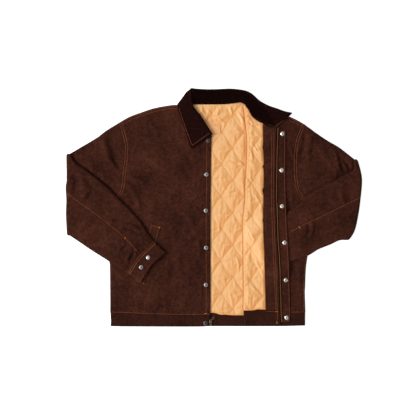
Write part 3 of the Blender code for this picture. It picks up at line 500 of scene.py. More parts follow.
def quilted_satin(name):
    """Padded satin, paler where a wrinkle leans to the light and deeper where it leans away."""
    made, tree, shader = blank(name, Roughness=0.46, Specular_IOR_Level=0.22)
    place, mark = place_in(tree), mark_of(tree)
    long = node(tree, "Mapping", {"Vector": place, "Scale": (1.5, 0.7, 1.0)}).outputs["Vector"]
    crumple = node(tree, "TexNoise",
                   {"Vector": long, "Scale": 1 / 0.021, "Detail": 2.0, "Roughness": 0.45, "Distortion": 0.9},
                   noise_type="RIDGED_MULTIFRACTAL", normalize=True).outputs["Fac"]
    fine = noise(tree, place, 0.003, 2.0)
    normal = emboss(tree, shader, summed(tree, (crumple, 1.0), (fine, 0.03)), 0.36, 0.0011)
    lean = node(tree, "VectorMath", {0: normal, 1: (-0.80, 0.60, 0.0)}, operation="DOT_PRODUCT").outputs["Value"]
    # painted light and shade: pale where the bumped surface faces the light, deep where it faces away
    shade = mixed(tree, ramp(tree, lean, -0.15, 0.07), SATIN_DEEP, SATIN_PALE)
    # painted shade: the seam colour also goes where a wrinkle leans far from the light
    shade = mixed(tree, ramp(tree, lean, -0.42, -0.18, 0.5, 0.0), shade, SATIN_SEAM_AND_SHADE)
    # quilting lines darker: their thread, and painted shade in the valleys they pull down
    shade = mixed(tree, ramp(tree, mark, 0.0, 0.05, 0.6, 0.0), shade, SATIN_SEAM_AND_SHADE)
    # painted shade on the lower part of the bend round the fold
    shade = mixed(tree, ramp(tree, mark, -0.45, -0.02, 0.85, 0.0), shade, SATIN_FOLD_SHADE)
    tree.links.new(shade, shader.inputs["Base Color"])
    return made


def ribbed_velvet(name):
    """Corduroy: wales that run from the neck seam to the collar's edge, paler where the nap is laid to the light."""
    made, tree, shader = blank(name, Roughness=0.9, Specular_IOR_Level=0.03)
    place, laid = place_in(tree), mark_of(tree)
    wale = bands(tree, cloth_of(tree), 0.0025, "Y")
    nap = noise(tree, place, 0.0012, 3.0)
    patchy = noise(tree, place, 0.008, 3.0, 0.75)
    # painted sheen: lighter colours where the collar's marks say the nap catches the light
    dark = mixed(tree, laid, (0.0018, 0.0005, 0.0004), (0.0026, 0.0007, 0.0006))
    light = mixed(tree, laid, (0.0120, 0.0027, 0.0020), (0.0250, 0.0060, 0.0048))
    # painted shade: darker in the grooves between the wales
    shade = mixed(tree, ramp(tree, summed(tree, (wale, 0.35), (patchy, 0.65)), 0.41, 0.59), dark, light)
    tree.links.new(shade, shader.inputs["Base Color"])
    emboss(tree, shader, summed(tree, (wale, 1.0), (nap, 0.35)), 0.8, 0.0006)
    return made


def metal(name, colour, worn, roughness):
    made, tree, shader = blank(name, Metallic=1.0)
    wear = noise(tree, place_in(tree), 0.0015, 4.0, 0.6)
    tree.links.new(mixed(tree, ramp(tree, wear, 0.35, 0.7), colour, worn), shader.inputs["Base Color"])
    tree.links.new(ramp(tree, wear, 0.3, 0.7, roughness * 0.8, roughness * 1.3), shader.inputs["Roughness"])
    emboss(tree, shader, wear, 0.15, 0.0001)
    return made


def thread(name, colour):
    made, tree, shader = blank(name, Roughness=0.6)
    ply = noise(tree, place_in(tree), 0.0009, 2.0)
    shade = mixed(tree, ramp(tree, ply, 0.35, 0.65), [c * 0.7 for c in colour], colour)
    tree.links.new(shade, shader.inputs["Base Color"])
    emboss(tree, shader, ply, 0.4, 0.0001)
    return made


# lit and shaded colours of the satin, for its painted light and shade
SATIN_PALE = (0.83, 0.462, 0.200)
SATIN_DEEP = (0.82, 0.362, 0.114)
# quilting lines, and painted shade on the satin
SATIN_SEAM_AND_SHADE = (0.72, 0.26, 0.070)
SATIN_FOLD_SHADE = (0.17, 0.062, 0.016)  # painted shade deep in the fold
CANVAS = woven("brown_duck_canvas", (0.0445, 0.0121, 0.0066), (0.0215, 0.0055, 0.0030), (0.0740, 0.0216, 0.0124))
# a darker copy of the canvas, for the hem bands
BAND_CANVAS = woven("darker_band_canvas", (0.0320, 0.0087, 0.0048), (0.0200, 0.0052, 0.0028), (0.0450, 0.0130, 0.0074))
TAPE_CLOTH = woven("zip_tape", (0.016, 0.008, 0.006), (0.012, 0.006, 0.0045), (0.02, 0.010, 0.0075), 0.0007, 0.0001)
LABEL = woven("label_cloth", (0.87, 0.44, 0.195), (0.79, 0.37, 0.155), (0.91, 0.49, 0.23), 0.0006, 0.00006, 0.6)
SATIN = quilted_satin("quilted_satin")
CORDUROY = ribbed_velvet("dark_corduroy")
THREAD = thread("rust_thread", (0.35, 0.083, 0.020))
CUFF_THREAD = thread("cuff_thread", (0.62, 0.160, 0.034))
BARTACK = thread("bright_thread", (0.85, 0.22, 0.022))
LABEL_THREAD = thread("label_thread", (0.78, 0.17, 0.045))
STEEL = metal("nickel", (0.66, 0.66, 0.63), (0.42, 0.41, 0.38), 0.24)
WORN_STEEL = metal("worn_nickel", (0.46, 0.46, 0.44), (0.28, 0.27, 0.25), 0.34)
# painted shade: nickel darkened for snaps that lie in shade
SHADED_STEEL = metal("shaded_nickel", (0.14, 0.13, 0.12), (0.07, 0.065, 0.06), 0.4)
BRASS = metal("antique_brass", (0.82, 0.36, 0.115), (0.38, 0.155, 0.045), 0.34)
OLD_BRASS = metal("darkened_brass", (0.20, 0.145, 0.070), (0.08, 0.055, 0.030), 0.36)
# painted shade: black in the hollow posts of the studs
HOLLOW_SHADE = blank("snap_hollow_shade", Base_Color=(0.005, 0.005, 0.005, 1), Roughness=0.9)[0]


# ---------------------------------------------------------------- the outlines, as (x, y)

SIDE_R = [(-320, -325), (-320, -283), (-321, -185), (-323, -165), (-326, -100), (-326, -45)]
ARMHOLE_R = [(-326, -45), (-321, -18), (-311, 10), (-297, 33), (-284, 55), (-280, 81), (-276, 119), (-271, 157),
             (-271, 194), (-278, 228), (-290, 265)]
SHOULDER_R = [(-290, 265), (-259, 282), (-218, 297), (-184, 308), (-135, 317), (-113, 318), (-90, 318)]
NECK_BACK = [(-90, 318), (-62, 320.2), (-9, 320.2), (38, 321.4), (64, 325.5), (80, 327), (92, 320)]
NECK_R = [(-90, 318), (-76, 298), (-61, 278), (-44, 257), (-28, 239), (-6, 226)]
FRONT_EDGE_R = [(-12, -332), (-11, -286), (-11, -162), (-11, -38), (-10, 86), (-9, 179), (-6, 226)]
HEM_SEAM_R = [(-320, -325), (-244, -328), (-132, -332), (-12, -332)]
HEM_SEAM_BACK = [(-320, -325), (-120, -334), (100, -334), (284, -325)]
HEM_R = [(-318, -365), (-308, -368), (-184, -369), (-51, -369), (-15, -367)]

SIDE_L = [(284, -325), (282, -268), (283, -241), (285, -194), (289, -160), (300, -95), (303, -34)]
ARMHOLE_L = [(303, -34), (299, -5), (288, 16), (273, 34), (263, 50), (257, 74), (254, 108), (253, 141), (255, 178),
             (260, 208), (270, 235), (280, 259)]
SHOULDER_L = [(92, 320), (160, 304), (237, 281), (280, 259)]
FOLD_L = [(90, -330), (91, -248), (90, -146), (89, -46), (96, 27), (97, 74), (101, 141), (102, 208), (97, 265),
          (90, 318)]
LINING_EDGE_L = [(162, -330), (159, -180), (154, -56), (156, 105), (154, 200), (153, 260)]
SHELL_EDGE_L = [(204, -330), (203, -298), (201, -231), (198, -160), (193, -80), (191, 4), (189, 27), (191, 158),
                (194, 247)]
NECK_L_LINING = [(92, 318), (104, 304), (116, 284), (133, 270), (153, 260)]
NECK_L_FACING = [(153, 260), (172, 250), (194, 247)]
PLACKET_FREE_L = [(238, -356), (236, -248), (231, -126), (226, -46), (223, 91), (224, 239)]

WELT = [(-244, -227), (-216, -238), (-164, -58), (-194, -51)]
LABEL_X, LABEL_Y, LABEL_WIDE, LABEL_TALL = -56, 229, 78, 29
HEM_BOTTOM = -368.0
HEM_INSIDE_Y = -318.2  # the hem band's own edge inside the folded-back front
LAST_TURNED_Y = -366.0

# About how long and wide the pieces are, for the number of cells in their grids
ARM_LONG, FORE_LONG, CUFF_LONG = 170, 300, 48
TURNED_LONG, LINING_WIDE_L, FACING_WIDE_L = 590, 62, 42
BACK_LONG = 654
HEM_TALL, HEM_WIDE, HEM_CELLS = 40, 604, 120  # the last is the back band's own count of cells
PLACKET_WIDE = 44
WELT_LONG, WELT_WIDE = 186, 30
PLACKET_UNDER = 13  # how far the placket reaches back under the shell's edge
PLACKET_TOP, TAPE_TOP_R = 242, 206  # highest y of the placket's rows and of the right tape's

# Sleeves: each edge runs from armhole to elbow and from elbow to cuff, each fold and seam from the lower edge up
SLEEVE_R = {
    "out": -1,
    "armhole": ARMHOLE_R,
    "under": [(-326, -45), (-380, -66), (-445, -85)],
    "over": [(-290, 265), (-335, 237), (-361, 217), (-413, 186), (-447, 166)],
    "elbow": [(-455, -85), (-458, -22), (-457, 24), (-459, 63), (-456, 89), (-457, 166)],
    "fore_under": [(-445, -85), (-412, -107), (-380, -129), (-323, -165), (-263, -204)],
    "fore_over": [(-447, 166), (-429, 138), (-394, 113), (-331, 63), (-301, 33), (-266, -1), (-228, -44), (-204, -81),
                  (-182, -108)],
    "seam": [(-263, -204), (-230, -155), (-182, -108)],
    "cuff_under": [(-263, -204), (-225, -232)],
    "cuff_over": [(-182, -108), (-148, -139)],
    "cuff_end": [(-225, -232), (-192, -178), (-148, -139)],
    "settle": 0.0,
}
SLEEVE_L = {
    "out": 1,
    "armhole": ARMHOLE_L,
    "under": [(303, -34), (360, -60), (411, -99)],
    "over": [(280, 259), (321, 229), (354, 207), (391, 185), (437, 149)],
    "elbow": [(421, -99), (437, -72), (447, -32), (455, 22), (460, 91), (447, 149)],
    "fore_under": [(411, -99), (389, -100), (361, -113), (324, -128), (292, -147), (240, -166)],
    "fore_over": [(437, 149), (434, 116), (405, 101), (374, 81), (328, 59), (287, 35), (266, 11), (242, -7),
                  (166, -56)],
    "seam": [(240, -166), (203, -107), (166, -56)],
    "cuff_under": [(240, -166), (202, -195)],
    "cuff_over": [(166, -56), (128, -85)],
    "cuff_end": [(202, -195), (165, -136), (128, -85)],
    "settle": 2.0,
}

# Soft folds: middle x, y, angle, length, half width, height
FOLDS_FRONT_R = [
    (-252, 74, -28, 60, 9, -1.6),
    (-243, 92, -35, 62, 9, 2.2),
    (-232, 150, 62, 90, 16, 2.0),
    (-172, -120, 84, 190, 14, 1.6),
    (-105, -190, 86, 150, 13, 1.1),
    (-120, 60, 80, 200, 22, 1.6),
    (-176, -290, 70, 60, 10, 1.8),
]
FOLDS_SLEEVE_R = [
    (-310, 150, -70, 120, 10, 2.6),
    (-330, 190, -62, 90, 9, 2.0),
    (-395, 105, 8, 90, 9, 2.4),
]
FOLDS_FOREARM_R = [
    (-415, 100, -72, 100, 9, 2.2),
    (-390, 35, 30, 120, 12, 2.4),
    (-320, -25, -70, 90, 10, 2.2),
    (-290, -90, -60, 80, 9, 2.0),
    (-250, -120, -45, 70, 8, 2.2),
]
FOLDS_SLEEVE_L = [
    (290, 170, -80, 110, 9, 2.6),
    (330, 180, -60, 100, 10, 2.2),
    (390, 120, -82, 70, 8, 2.0),
]
FOLDS_FOREARM_L = [
    (385, 130, -78, 60, 8, 1.6),
    (415, 40, 78, 110, 10, 2.2),
    (300, -20, -55, 60, 8, 2.0),
    (330, -60, 25, 90, 11, 1.8),
]
FOLDS_TURNED = [
    (120, 150, 86, 160, 14, 1.0),
    (178, 110, 4, 40, 10, 1.2),
    (180, 20, -6, 40, 10, 1.2),
    (182, -150, 5, 40, 10, 1.2),
]



# ---------------------------------------------------------------- creases that the solids leave out
# half width, height, then the points that the crease passes

CANVAS_GAIN = 1.6
CREASES_FRONT_R = [
    (5, -1.5, (-277, 87), (-250, 75), (-218, 62)),
    (7, 3.4, (-274, 99), (-246, 90), (-208, 76)),
    (8, -1.6, (-276, 66), (-262, 48), (-248, 26), (-243, 0)),
    (7, 3.2, (-263, 70), (-246, 46), (-233, 16), (-230, -20)),
    (3, -1.2, (-244, 205), (-252, 186), (-261, 163)),
    (5, 1.4, (-236, 208), (-246, 182), (-254, 158)),
    (9, 1.6, (-214, 176), (-196, 150), (-150, 128)),
    (7, -1.0, (-205, 146), (-180, 122), (-130, 104)),
    (8, 1.4, (-150, 196), (-120, 168), (-80, 150)),
    (6, -1.0, (-104, 82), (-86, 74), (-66, 66)),
    (11, 1.0, (-120, -70), (-112, -150), (-103, -215)),
    (8, -0.7, (-97, -130), (-92, -180), (-88, -226)),
    (6, 1.6, (-46, -96), (-43, -130), (-42, -165)),
    (6, 1.5, (-42, -222), (-38, -255), (-38, -290)),
    (11, 1.1, (-150, -140), (-142, -190), (-150, -240)),
    (10, -0.7, (-128, -190), (-134, -240), (-150, -275)),
    (8, 2.2, (-306, -192), (-290, -206), (-272, -220)),
    (9, 1.8, (-250, -246), (-230, -260), (-208, -270)),
    (7, 2.0, (-200, -290), (-184, -282), (-166, -270)),
    (6, 1.4, (-96, -318), (-90, -304), (-88, -286)),
    (5, 1.3, (-150, -322), (-146, -306), (-149, -292)),
    (5, 1.2, (-240, -318), (-237, -304), (-241, -290)),
    (5, -1.0, (-222, -320), (-216, -300), (-220, -284)),
    (10, 1.6, (-205, 270), (-180, 240), (-168, 205)),
    (9, 1.4, (-180, 60), (-150, 30), (-90, 10)),
    (10, 1.5, (-80, -20), (-60, -60), (-52, -90)),
]
CREASES_FRONT_L = [
    (6, -1.4, (225, 184), (233, 167), (245, 149), (252, 128)),
    (6, 2.4, (236, 196), (244, 172), (254, 152)),
    (5, 1.8, (226, 104), (238, 111), (254, 102)),
    (5, -1.4, (228, 94), (241, 99), (254, 88)),
    (5, 1.8, (240, 72), (244, 40), (243, 6)),
    (6, 1.6, (252, 74), (258, 46), (270, 26)),
    (6, 1.4, (238, -214), (252, -226), (270, -228)),
    (7, 1.6, (262, -180), (268, -220), (264, -262)),
]
CREASES_ARM_R = [
    (11, -4.0, (-322, 226), (-314, 186), (-303, 150), (-292, 118)),
    (8, 2.6, (-345, 214), (-334, 176), (-318, 142)),
    (4, -2.2, (-323, 168), (-311, 150), (-297, 130)),
    (5, 2.2, (-330, 158), (-315, 138), (-300, 118)),
    (12, 2.6, (-390, 168), (-380, 130), (-372, 100)),
    (10, -2.4, (-414, 140), (-400, 110), (-392, 84)),
    (8, 2.0, (-360, 110), (-335, 92), (-312, 82)),
    (9, 2.0, (-440, 130), (-420, 110), (-404, 92)),
]
CREASES_FORE_R = [
    (5, 3.2, (-380, 54), (-392, 44), (-406, 28)),
    (4, -2.4, (-371, 46), (-384, 34), (-398, 16)),
    (12, -3.2, (-430, 108), (-424, 70), (-432, 40)),
    (9, 2.6, (-410, 96), (-398, 74), (-400, 52)),
    (5, 3.4, (-287, -69), (-283, -56), (-268, -52), (-248, -58), (-226, -74)),
    (5, -2.6, (-284, -80), (-272, -66), (-250, -70), (-232, -86)),
    (5, 2.6, (-271, -108), (-282, -118), (-296, -124)),
    (4, -2.2, (-268, -116), (-280, -128), (-292, -134)),
    (5, 3.0, (-250, -132), (-262, -148), (-270, -166)),
    (5, -2.2, (-243, -132), (-253, -152), (-262, -172)),
    (6, 2.6, (-232, -122), (-240, -138), (-246, -156)),
    (7, 2.2, (-306, -40), (-330, -58), (-352, -62)),
    (8, 2.0, (-300, -130), (-325, -120), (-350, -122)),
    (10, 2.2, (-360, -20), (-395, -48), (-420, -60)),
    (9, -2.0, (-352, -36), (-385, -66), (-410, -80)),
    (8, 2.0, (-205, -104), (-222, -92), (-238, -90)),
]
CREASES_ARM_L = [
    (8, -4.0, (286, 230), (281, 195), (273, 165), (266, 140)),
    (8, 2.8, (303, 226), (297, 190), (287, 160)),
    (6, -2.0, (272, 70), (276, 48), (288, 30)),
    (6, 3.4, (376, 176), (386, 140), (392, 106)),
    (8, -3.0, (385, 170), (396, 140), (401, 112)),
    (5, 3.2, (372, 132), (380, 108), (372, 84)),
    (5, 3.4, (392, 150), (406, 132), (418, 112)),
    (7, -3.0, (400, 152), (414, 134), (424, 116)),
    (5, 3.0, (440, 142), (432, 130), (427, 116)),
    (10, 1.8, (330, 206), (342, 176), (346, 146)),
]
CREASES_FORE_L = [
    (4, 2.6, (283, -31), (289, -36), (296, -39)),
    (6, 3.2, (295, -39), (305, -54), (303, -78), (295, -94)),
    (5, -2.8, (286, -46), (295, -60), (292, -80), (284, -92)),
    (14, -3.0, (430, 78), (420, 46), (424, 10)),
    (9, 2.4, (404, 84), (396, 50), (402, 16)),
    (9, 2.2, (360, 30), (384, 18), (410, 20)),
    (8, 2.0, (330, -84), (356, -72), (384, -74)),
    (6, 2.4, (236, -4), (250, 6), (262, 14)),
    (5, -2.0, (238, -18), (254, -6), (270, 2)),
    (8, 2.0, (240, -120), (262, -112), (282, -118)),
    (9, 1.8, (340, 8), (320, -4), (300, -6)),
]
CREASES_FACING = [
    (4, 1.0, (160, 128), (174, 124), (186, 126)),
    (4, 1.0, (157, 108), (168, 111), (178, 108)),
    (4, -0.7, (158, 118), (172, 117), (188, 120)),
    (4, 0.9, (156, 32), (170, 28), (184, 30)),
    (4, 0.9, (158, -148), (172, -143), (184, -146)),
    (4, 0.8, (160, -232), (174, -236), (190, -232)),
    (4, 0.8, (160, -270), (176, -266), (188, -270)),
    (5, 0.8, (162, 220), (168, 190), (166, 160)),
    (5, 0.8, (166, -10), (164, -60), (170, -100)),
]


# ---------------------------------------------------------------- sewing lines in plan

STITCH_APART = 6.6
SLEEVE_SEAM_R = [(-455, 49), (-439, 33), (-383, -7), (-321, -53), (-274, -94), (-250, -119), (-231, -143)]
SLEEVE_SEAM_L = [(452, 31), (444, 27), (392, 2), (330, -29), (292, -46), (265, -60), (232, -79), (207, -95)]
FRONT_STITCH_R = beside(spline(FRONT_EDGE_R), 12.0)
HEM_STITCH_R = beside(spline(HEM_SEAM_R), 1.8)
HEM_STITCH_L = spline([(236, -324), (260, -323.4), (283, -323)])
ARM_BODY_R = beside(spline(ARMHOLE_R), -STITCH_APART / 2)
ARM_SLEEVE_R = beside(spline(ARMHOLE_R), STITCH_APART / 2)
ARM_BODY_L = beside(spline(ARMHOLE_L), STITCH_APART / 2)
ARM_SLEEVE_L = beside(spline(ARMHOLE_L), -STITCH_APART / 2)
SHOULDER_STITCH_R, SHOULDER_STITCH_L = ([beside(spline(line), -d) for d in (3.2, 9.6)] for line in (
    SHOULDER_R, SHOULDER_L))
SIDE_STITCH_L = beside(spline([(284, -322), (282, -268), (283, -241), (285, -194), (289, -160), (292, -140)]), 3.2)
FACING_STITCH = [spline(points) for points in (
    [(180, 228), (179, 100), (179.5, 0), (182, -100), (186, -190), (190, -260), (192.5, -317)],
    [(186.5, 232), (186, 100), (186, 0), (188.5, -110), (192.5, -200), (195.5, -290), (197.5, -319)],
)]
PLACKET_STITCH = spline([(208, 236.4), (219.5, 236), (220.6, 226), (220, 91), (223, -46), (228, -126), (233, -248),
                         (235, -349)])


# ---------------------------------------------------------------- rows and columns

SEAMS = [spline(points, 6) for points in (SIDE_R, SHOULDER_R, SIDE_L, SHOULDER_L)]
ACROSS_SLEEVE = cells(250)
SIDE_COUNT = cells(282)


def body_edge(side, armhole):
    """Side seam and armhole, with the points that the sleeve's first ring has too."""
    return join(sampled(side, SIDE_COUNT), sampled(armhole, ACROSS_SLEEVE, True, True))


def level_with(points, edge, start=0.0):
    """A line whose rows rise as evenly as those of another edge, from a share of its height up."""
    line = spline(points)
    heights = edge[:, 1]
    shares = start + (1 - start) * (heights - heights[0]) / (heights[-1] - heights[0])
    return along(line, np.interp(shares, (line[:, 1] - line[0, 1]) / (line[-1, 1] - line[0, 1]), shares_of(line)))


def seam_inset(plan):
    return np.min([distance(plan, seam) for seam in SEAMS], axis=0)


def to_seam(plan, level, upper, inset):
    """A layer's level, brought round to the seam between front and back where it has one."""
    seam = (BACK_MID + front_level(plan)) / 2 + GAP / 2 * (1 if upper else -1)
    return seam + (level - seam) * rounded(inset)


EDGE_R = body_edge(SIDE_R, ARMHOLE_R)
EDGE_L = body_edge(SIDE_L, ARMHOLE_L)


def arm_of(shape):
    return np.vstack([spline(shape[key], 6)[::way] for key, way in (
        ("fore_over", 1), ("cuff_over", 1), ("cuff_end", -1), ("cuff_under", -1), ("fore_under", -1))])


def off_arm(plan, shape):
    """How far each plan point is from a forearm and its cuff, and 0 under them."""
    arm = arm_of(shape)
    x, y = plan[..., 0].ravel(), plan[..., 1].ravel()
    inside = np.zeros(len(x), bool)
    for (x0, y0), (x1, y1) in zip(arm, np.roll(arm, -1, axis=0)):
        crossed = (y0 > y) != (y1 > y)
        inside ^= crossed & (x < (x1 - x0) * (y - y0) / (y1 - y0 if y1 != y0 else 1e-9) + x0)
    return np.where(inside.reshape(plan.shape[:-1]), 0, distance(plan, arm))


def support(plan):
    """Top of what the folded-back front lies on: its own lower layer, or the forearm between."""
    flat = front_level(plan) + BAND / 2
    over_arm = CUFF_TOP - SLEEVE_L["settle"] + 0.8
    return flat + (over_arm - flat) * smooth(1 - (off_arm(plan, SLEEVE_L) - 6) / 50)


TURNED_RISE = 3.7 + CLOTH / 2
FOLD_BEND = 2.7  # how far the middle of the shell bulges at the fold
FOLD_INSET = FOLD_BEND + CLOTH / 2 + GAP + LINING  # from the fold's outer edge, which is lining, to where it bends


def turned_level(plan):
    return support(plan) + TURNED_RISE


DRAPE = ((70, 0.55), (28, 0.22))  # size and height of its waves


def drape(plan, seed):
    """Slight unevenness of cloth that lies loose."""
    return sum(height * field(plan, size, seed + k) for k, (size, height) in enumerate(DRAPE))


# ---------------------------------------------------------------- back and fronts


def eased(plan, towards, moved=GAP):
    """A plan row moved a little towards the next row, to leave a gap at a seam."""
    step = towards - plan
    return plan + moved * step / np.linalg.norm(step, axis=-1, keepdims=True)


def build_back():
    shoulder_r, neck, shoulder_l = cells(205, 8), cells(182, 8), cells(200, 8)
    across = shoulder_r + neck + shoulder_l + 10  # the rounded ends of each stretch are narrow cells
    top = join(sampled(SHOULDER_R, shoulder_r, True), sampled(NECK_BACK, neck, True, True),
               sampled(SHOULDER_L, shoulder_l, False, True))
    plan = patch(sampled(HEM_SEAM_BACK, across, True, True), EDGE_L, top, EDGE_R)
    inset = seam_inset(plan)
    wall("shell_back", raised(plan, to_seam(plan, BACK_MID, False, inset)), CANVAS, seam=inset < IN_SEAM)


def right_surface(plan, inset):
    lift = smooth((inset - 4) / 20) * smooth(off_arm(plan, SLEEVE_R) / 30)
    sewn = [FRONT_STITCH_R, ARM_BODY_R, HEM_STITCH_R, *SHOULDER_STITCH_R]
    at_edge = smooth((distance(plan, FRONT_STITCH_R) - 2) / 12)
    puckers = 0.35 * np.sin(plan[..., 1] / 2.1 + 3 * field(plan, 40, 61)) * bell(distance(plan, FRONT_STITCH_R) / 6)
    under = smooth((off_arm(plan, SLEEVE_R) + 2) / 14)
    creased = folds(plan, FOLDS_FRONT_R) + creases(plan, CREASES_FRONT_R, CANVAS_GAIN) + drape(plan, 21)
    return front_level(plan) + creased * lift * (0.4 + 0.6 * at_edge) + (grooves(plan, sewn) + puckers) * under


def build_front_right():
    shoulder, neck = cells(205), cells(125)
    top = join(sampled(SHOULDER_R, shoulder, True), sampled(NECK_R, neck))
    bottom = sampled(HEM_SEAM_R, shoulder + neck, True)
    edge = level_with(FRONT_EDGE_R, EDGE_R)
    plan = patch(bottom, edge, top, EDGE_R)
    inward = plan[:, -2:-1] - plan[:, -1:]
    inward /= np.linalg.norm(inward, axis=2, keepdims=True)
    narrow = plan[:, -1:] + inward * np.array(RIM_CELLS[::-1])[None, :, None]
    plan = np.concatenate([plan[:, :-1], narrow, plan[:, -1:]], axis=1)
    inset = seam_inset(plan)
    middle = raised(plan, to_seam(plan, right_surface(plan, inset), True, inset))
    wall("shell_front_right", middle, CANVAS, seam=inset < IN_SEAM, rim=rim_of(plan, "r"))
    return middle


def turned_plan(rows_like, lining_cells, facing_cells, start=0.0):
    """Plan of the folded-back part, from the fold to the edge of its shell."""
    fold = level_with(FOLD_L, rows_like, start) + np.array([FOLD_INSET, 0])
    lining_edge = level_with(LINING_EDGE_L, rows_like, start)
    shell_edge = level_with(SHELL_EDGE_L, rows_like, start)

    def strip(left, right, neck, count):
        top, share = sampled(neck, count), np.linspace(0, 1, count + 1)
        top = top + (1 - share)[:, None] * (left[-1] - top[0]) + share[:, None] * (right[-1] - top[-1])
        bottom = along(np.array([left[0], right[0]]), share)
        return patch(bottom, right, top, left)

    return (strip(fold, lining_edge, NECK_L_LINING, lining_cells),
            strip(lining_edge, shell_edge, NECK_L_FACING, facing_cells))


def folded(under, under_level, turned, turned_z):
    """One wall from the side seam to the fold, round it, and back on top of itself."""
    low, high = under_level[:, :1], turned_z[:, :1]
    start = turned[:, :1]
    bend, bend_z = [], []
    for angle in np.linspace(0, 180, 14)[1:-1]:
        turn = math.radians(angle)
        bend.append(start - np.array([FOLD_BEND * math.sin(turn), 0]))
        bend_z.append((low + high) / 2 - (high - low) / 2 * math.cos(turn))
    plan = np.concatenate([under[:, ::-1], *bend, turned], axis=1)
    z = np.concatenate([under_level[:, ::-1], *bend_z, turned_z], axis=1)
    return raised(plan, z), under.shape[1]


def turned_z(plan):
    return turned_level(plan) + folds(plan, FOLDS_TURNED) + 0.35 * field(plan, 60, 31)


def build_front_left():
    across = cells(190)
    lining, facing = turned_plan(EDGE_L, cells(LINING_WIDE_L, 4), cells(FACING_WIDE_L, 4))
    turned = np.concatenate([lining, facing[:, 1:]], axis=1)
    fold = turned[:, 0]
    top = sampled(SHOULDER_L, across, False, True)
    top[0] = fold[-1]
    bottom = along(np.array([fold[0], EDGE_L[0]]), stops(194, across, False, True))
    under = patch(bottom, EDGE_L, top, fold)
    inset = seam_inset(under)
    free = smooth((under[..., 0] - 225) / 14) * smooth((inset - 3) / 16) * smooth(off_arm(under, SLEEVE_L) / 18)
    level = front_level(under) + free * (creases(under, CREASES_FRONT_L, CANVAS_GAIN) + drape(under, 41))
    level += grooves(under, [ARM_BODY_L, *SHOULDER_STITCH_L, SIDE_STITCH_L, HEM_STITCH_L])
    middle, side_columns = folded(under, to_seam(under, level, True, inset), turned, turned_z(turned))
    seam = np.zeros(middle.shape[:2], bool)
    seam[:, :side_columns] = (inset < IN_SEAM)[:, ::-1]
    wall("shell_front_left", middle, CANVAS, seam=seam, rim=rim_of(middle, "r"))


def round_fold(flat):
    """The way round the fold from below, before the first column of the folded-back part, with its outward normals."""
    start, high = flat[:, 0, :2], flat[:, 0, 2]
    low = front_level(start)
    half = (high - low) / 2
    bend, out = [], []
    for turn in np.radians(np.linspace(10, 180, 15)[:-1]):
        bend.append(raised(start - np.array([FOLD_BEND * math.sin(turn), 0]), low + half * (1 - math.cos(turn))))
        lean = np.stack([0 * half - math.sin(turn) / FOLD_BEND, 0 * half, -math.cos(turn) / half], axis=1)
        out.append(lean / np.linalg.norm(lean, axis=1, keepdims=True))
    return np.stack(bend, axis=1), np.stack(out, axis=1)


LINING_NICKS = [(128, 5, 3.0), (53, 9, 3.4), (-40, 6, 1.6), (186, 7, 1.4)]  # y, half length and depth along its facing
LINING_END_L = 0.0185  # share of the folded-back front's height at which its lining and facing meet the hem's


def build_left_inside():
    """Quilted lining and facing on the folded-back front, from its own points moved out."""
    rows = np.stack([0 * np.arange(2), [EDGE_L[0, 1], EDGE_L[-1, 1]]], axis=1)
    rows = along(rows, np.linspace(0, 1, cells(TURNED_LONG, 0.6 * CELL) + 1))
    lining, facing = turned_plan(rows, cells(LINING_WIDE_L, 0.55 * CELL), cells(FACING_WIDE_L, 0.75 * CELL),
                                 LINING_END_L)
    rise = CLOTH / 2 + GAP
    both = raised(np.concatenate([lining, facing[:, 1:]], axis=1), 0)
    both[..., 2] = turned_z(both)
    normal = normals_of(both, False)
    count = lining.shape[1]
    over = both[:, :count].copy()
    over[:, -1] = eased(over[:, -1], over[:, -2])
    edge_x, y = over[:, -1:, 0].copy(), over[..., 1].copy()
    nick = 0.5 * field(over, 26, 75) + sum(deep * bell((y - at) / half) for at, half, deep in LINING_NICKS)
    over[..., 0] -= np.maximum(nick, 0) * smooth((over[..., 0] - edge_x + 12) / 12)
    over[..., 1] += smooth((-296 - y) / 20) * (3.4 * smooth((over[..., 0] - 112) / 34) + 0.8 * field(over, 22, 76))
    puff, seam = satin(over[..., :2] + QUILT_SHIFT_L, 7)
    inset = np.minimum(distance(over, over[:, -1, :2]), over[..., 1] - over[:1, :, 1])
    neck = distance(over, over[-1, :, :2])
    puff = puff * smooth(inset / 9) * smooth(neck / 8) + 0.5 * smooth(inset / 3) * smooth(neck / 3)
    puff += creases(over, CREASES_LINING_L) * smooth(inset / 6)
    ruffle = 0.9 * np.abs(field(over, 11, 71, (3.0, 1.0))) * bell(distance(over, over[:, -1, :2]) / 7)
    top = LINING + puff + ruffle * smooth(inset / 2)
    near = smooth((over[..., 0] - over[:, :1, 0]) / 9)
    gathers = np.maximum(0.9 * field(over, 13, 77, (4.0, 1.0)), -0.7)
    top = top * near + (1 - near) * (LINING + 0.2 * top[:, :1] + gathers)
    bend, out = round_fold(over)
    columns = bend.shape[1]
    whole = np.concatenate([bend, over], axis=1)
    top = np.concatenate([np.repeat(top[:, :1], columns, axis=1), top], axis=1)
    # marks for the painted fold shade: darkest on the lower part of the bend
    depth = np.broadcast_to(np.linspace(-1.3, 0.02, columns), bend.shape[:2])
    wall("inside_lining_left", whole, SATIN, low=rise, high=rise + top,
         normal=np.concatenate([out, normal[:, :count]], axis=1), marks=np.concatenate([depth, seam], axis=1),
         rim=rim_of(whole, "brt", 1.0))
    flat = both[:, count - 1 :]
    sewn = grooves(flat, FACING_STITCH, 2.0, 0.4) + creases(flat, CREASES_FACING, CANVAS_GAIN) * smooth(
        (distance(flat, flat[:, -1, :2]) - 1) / 5)
    wall("inside_facing_left", flat, CANVAS, low=rise,
         high=rise + FACING + np.maximum(sewn, -0.6) + 0.15 * field(flat, 22, 81), normal=normal[:, count - 1 :],
         rim=rim_of(flat, "brt", 1.0))


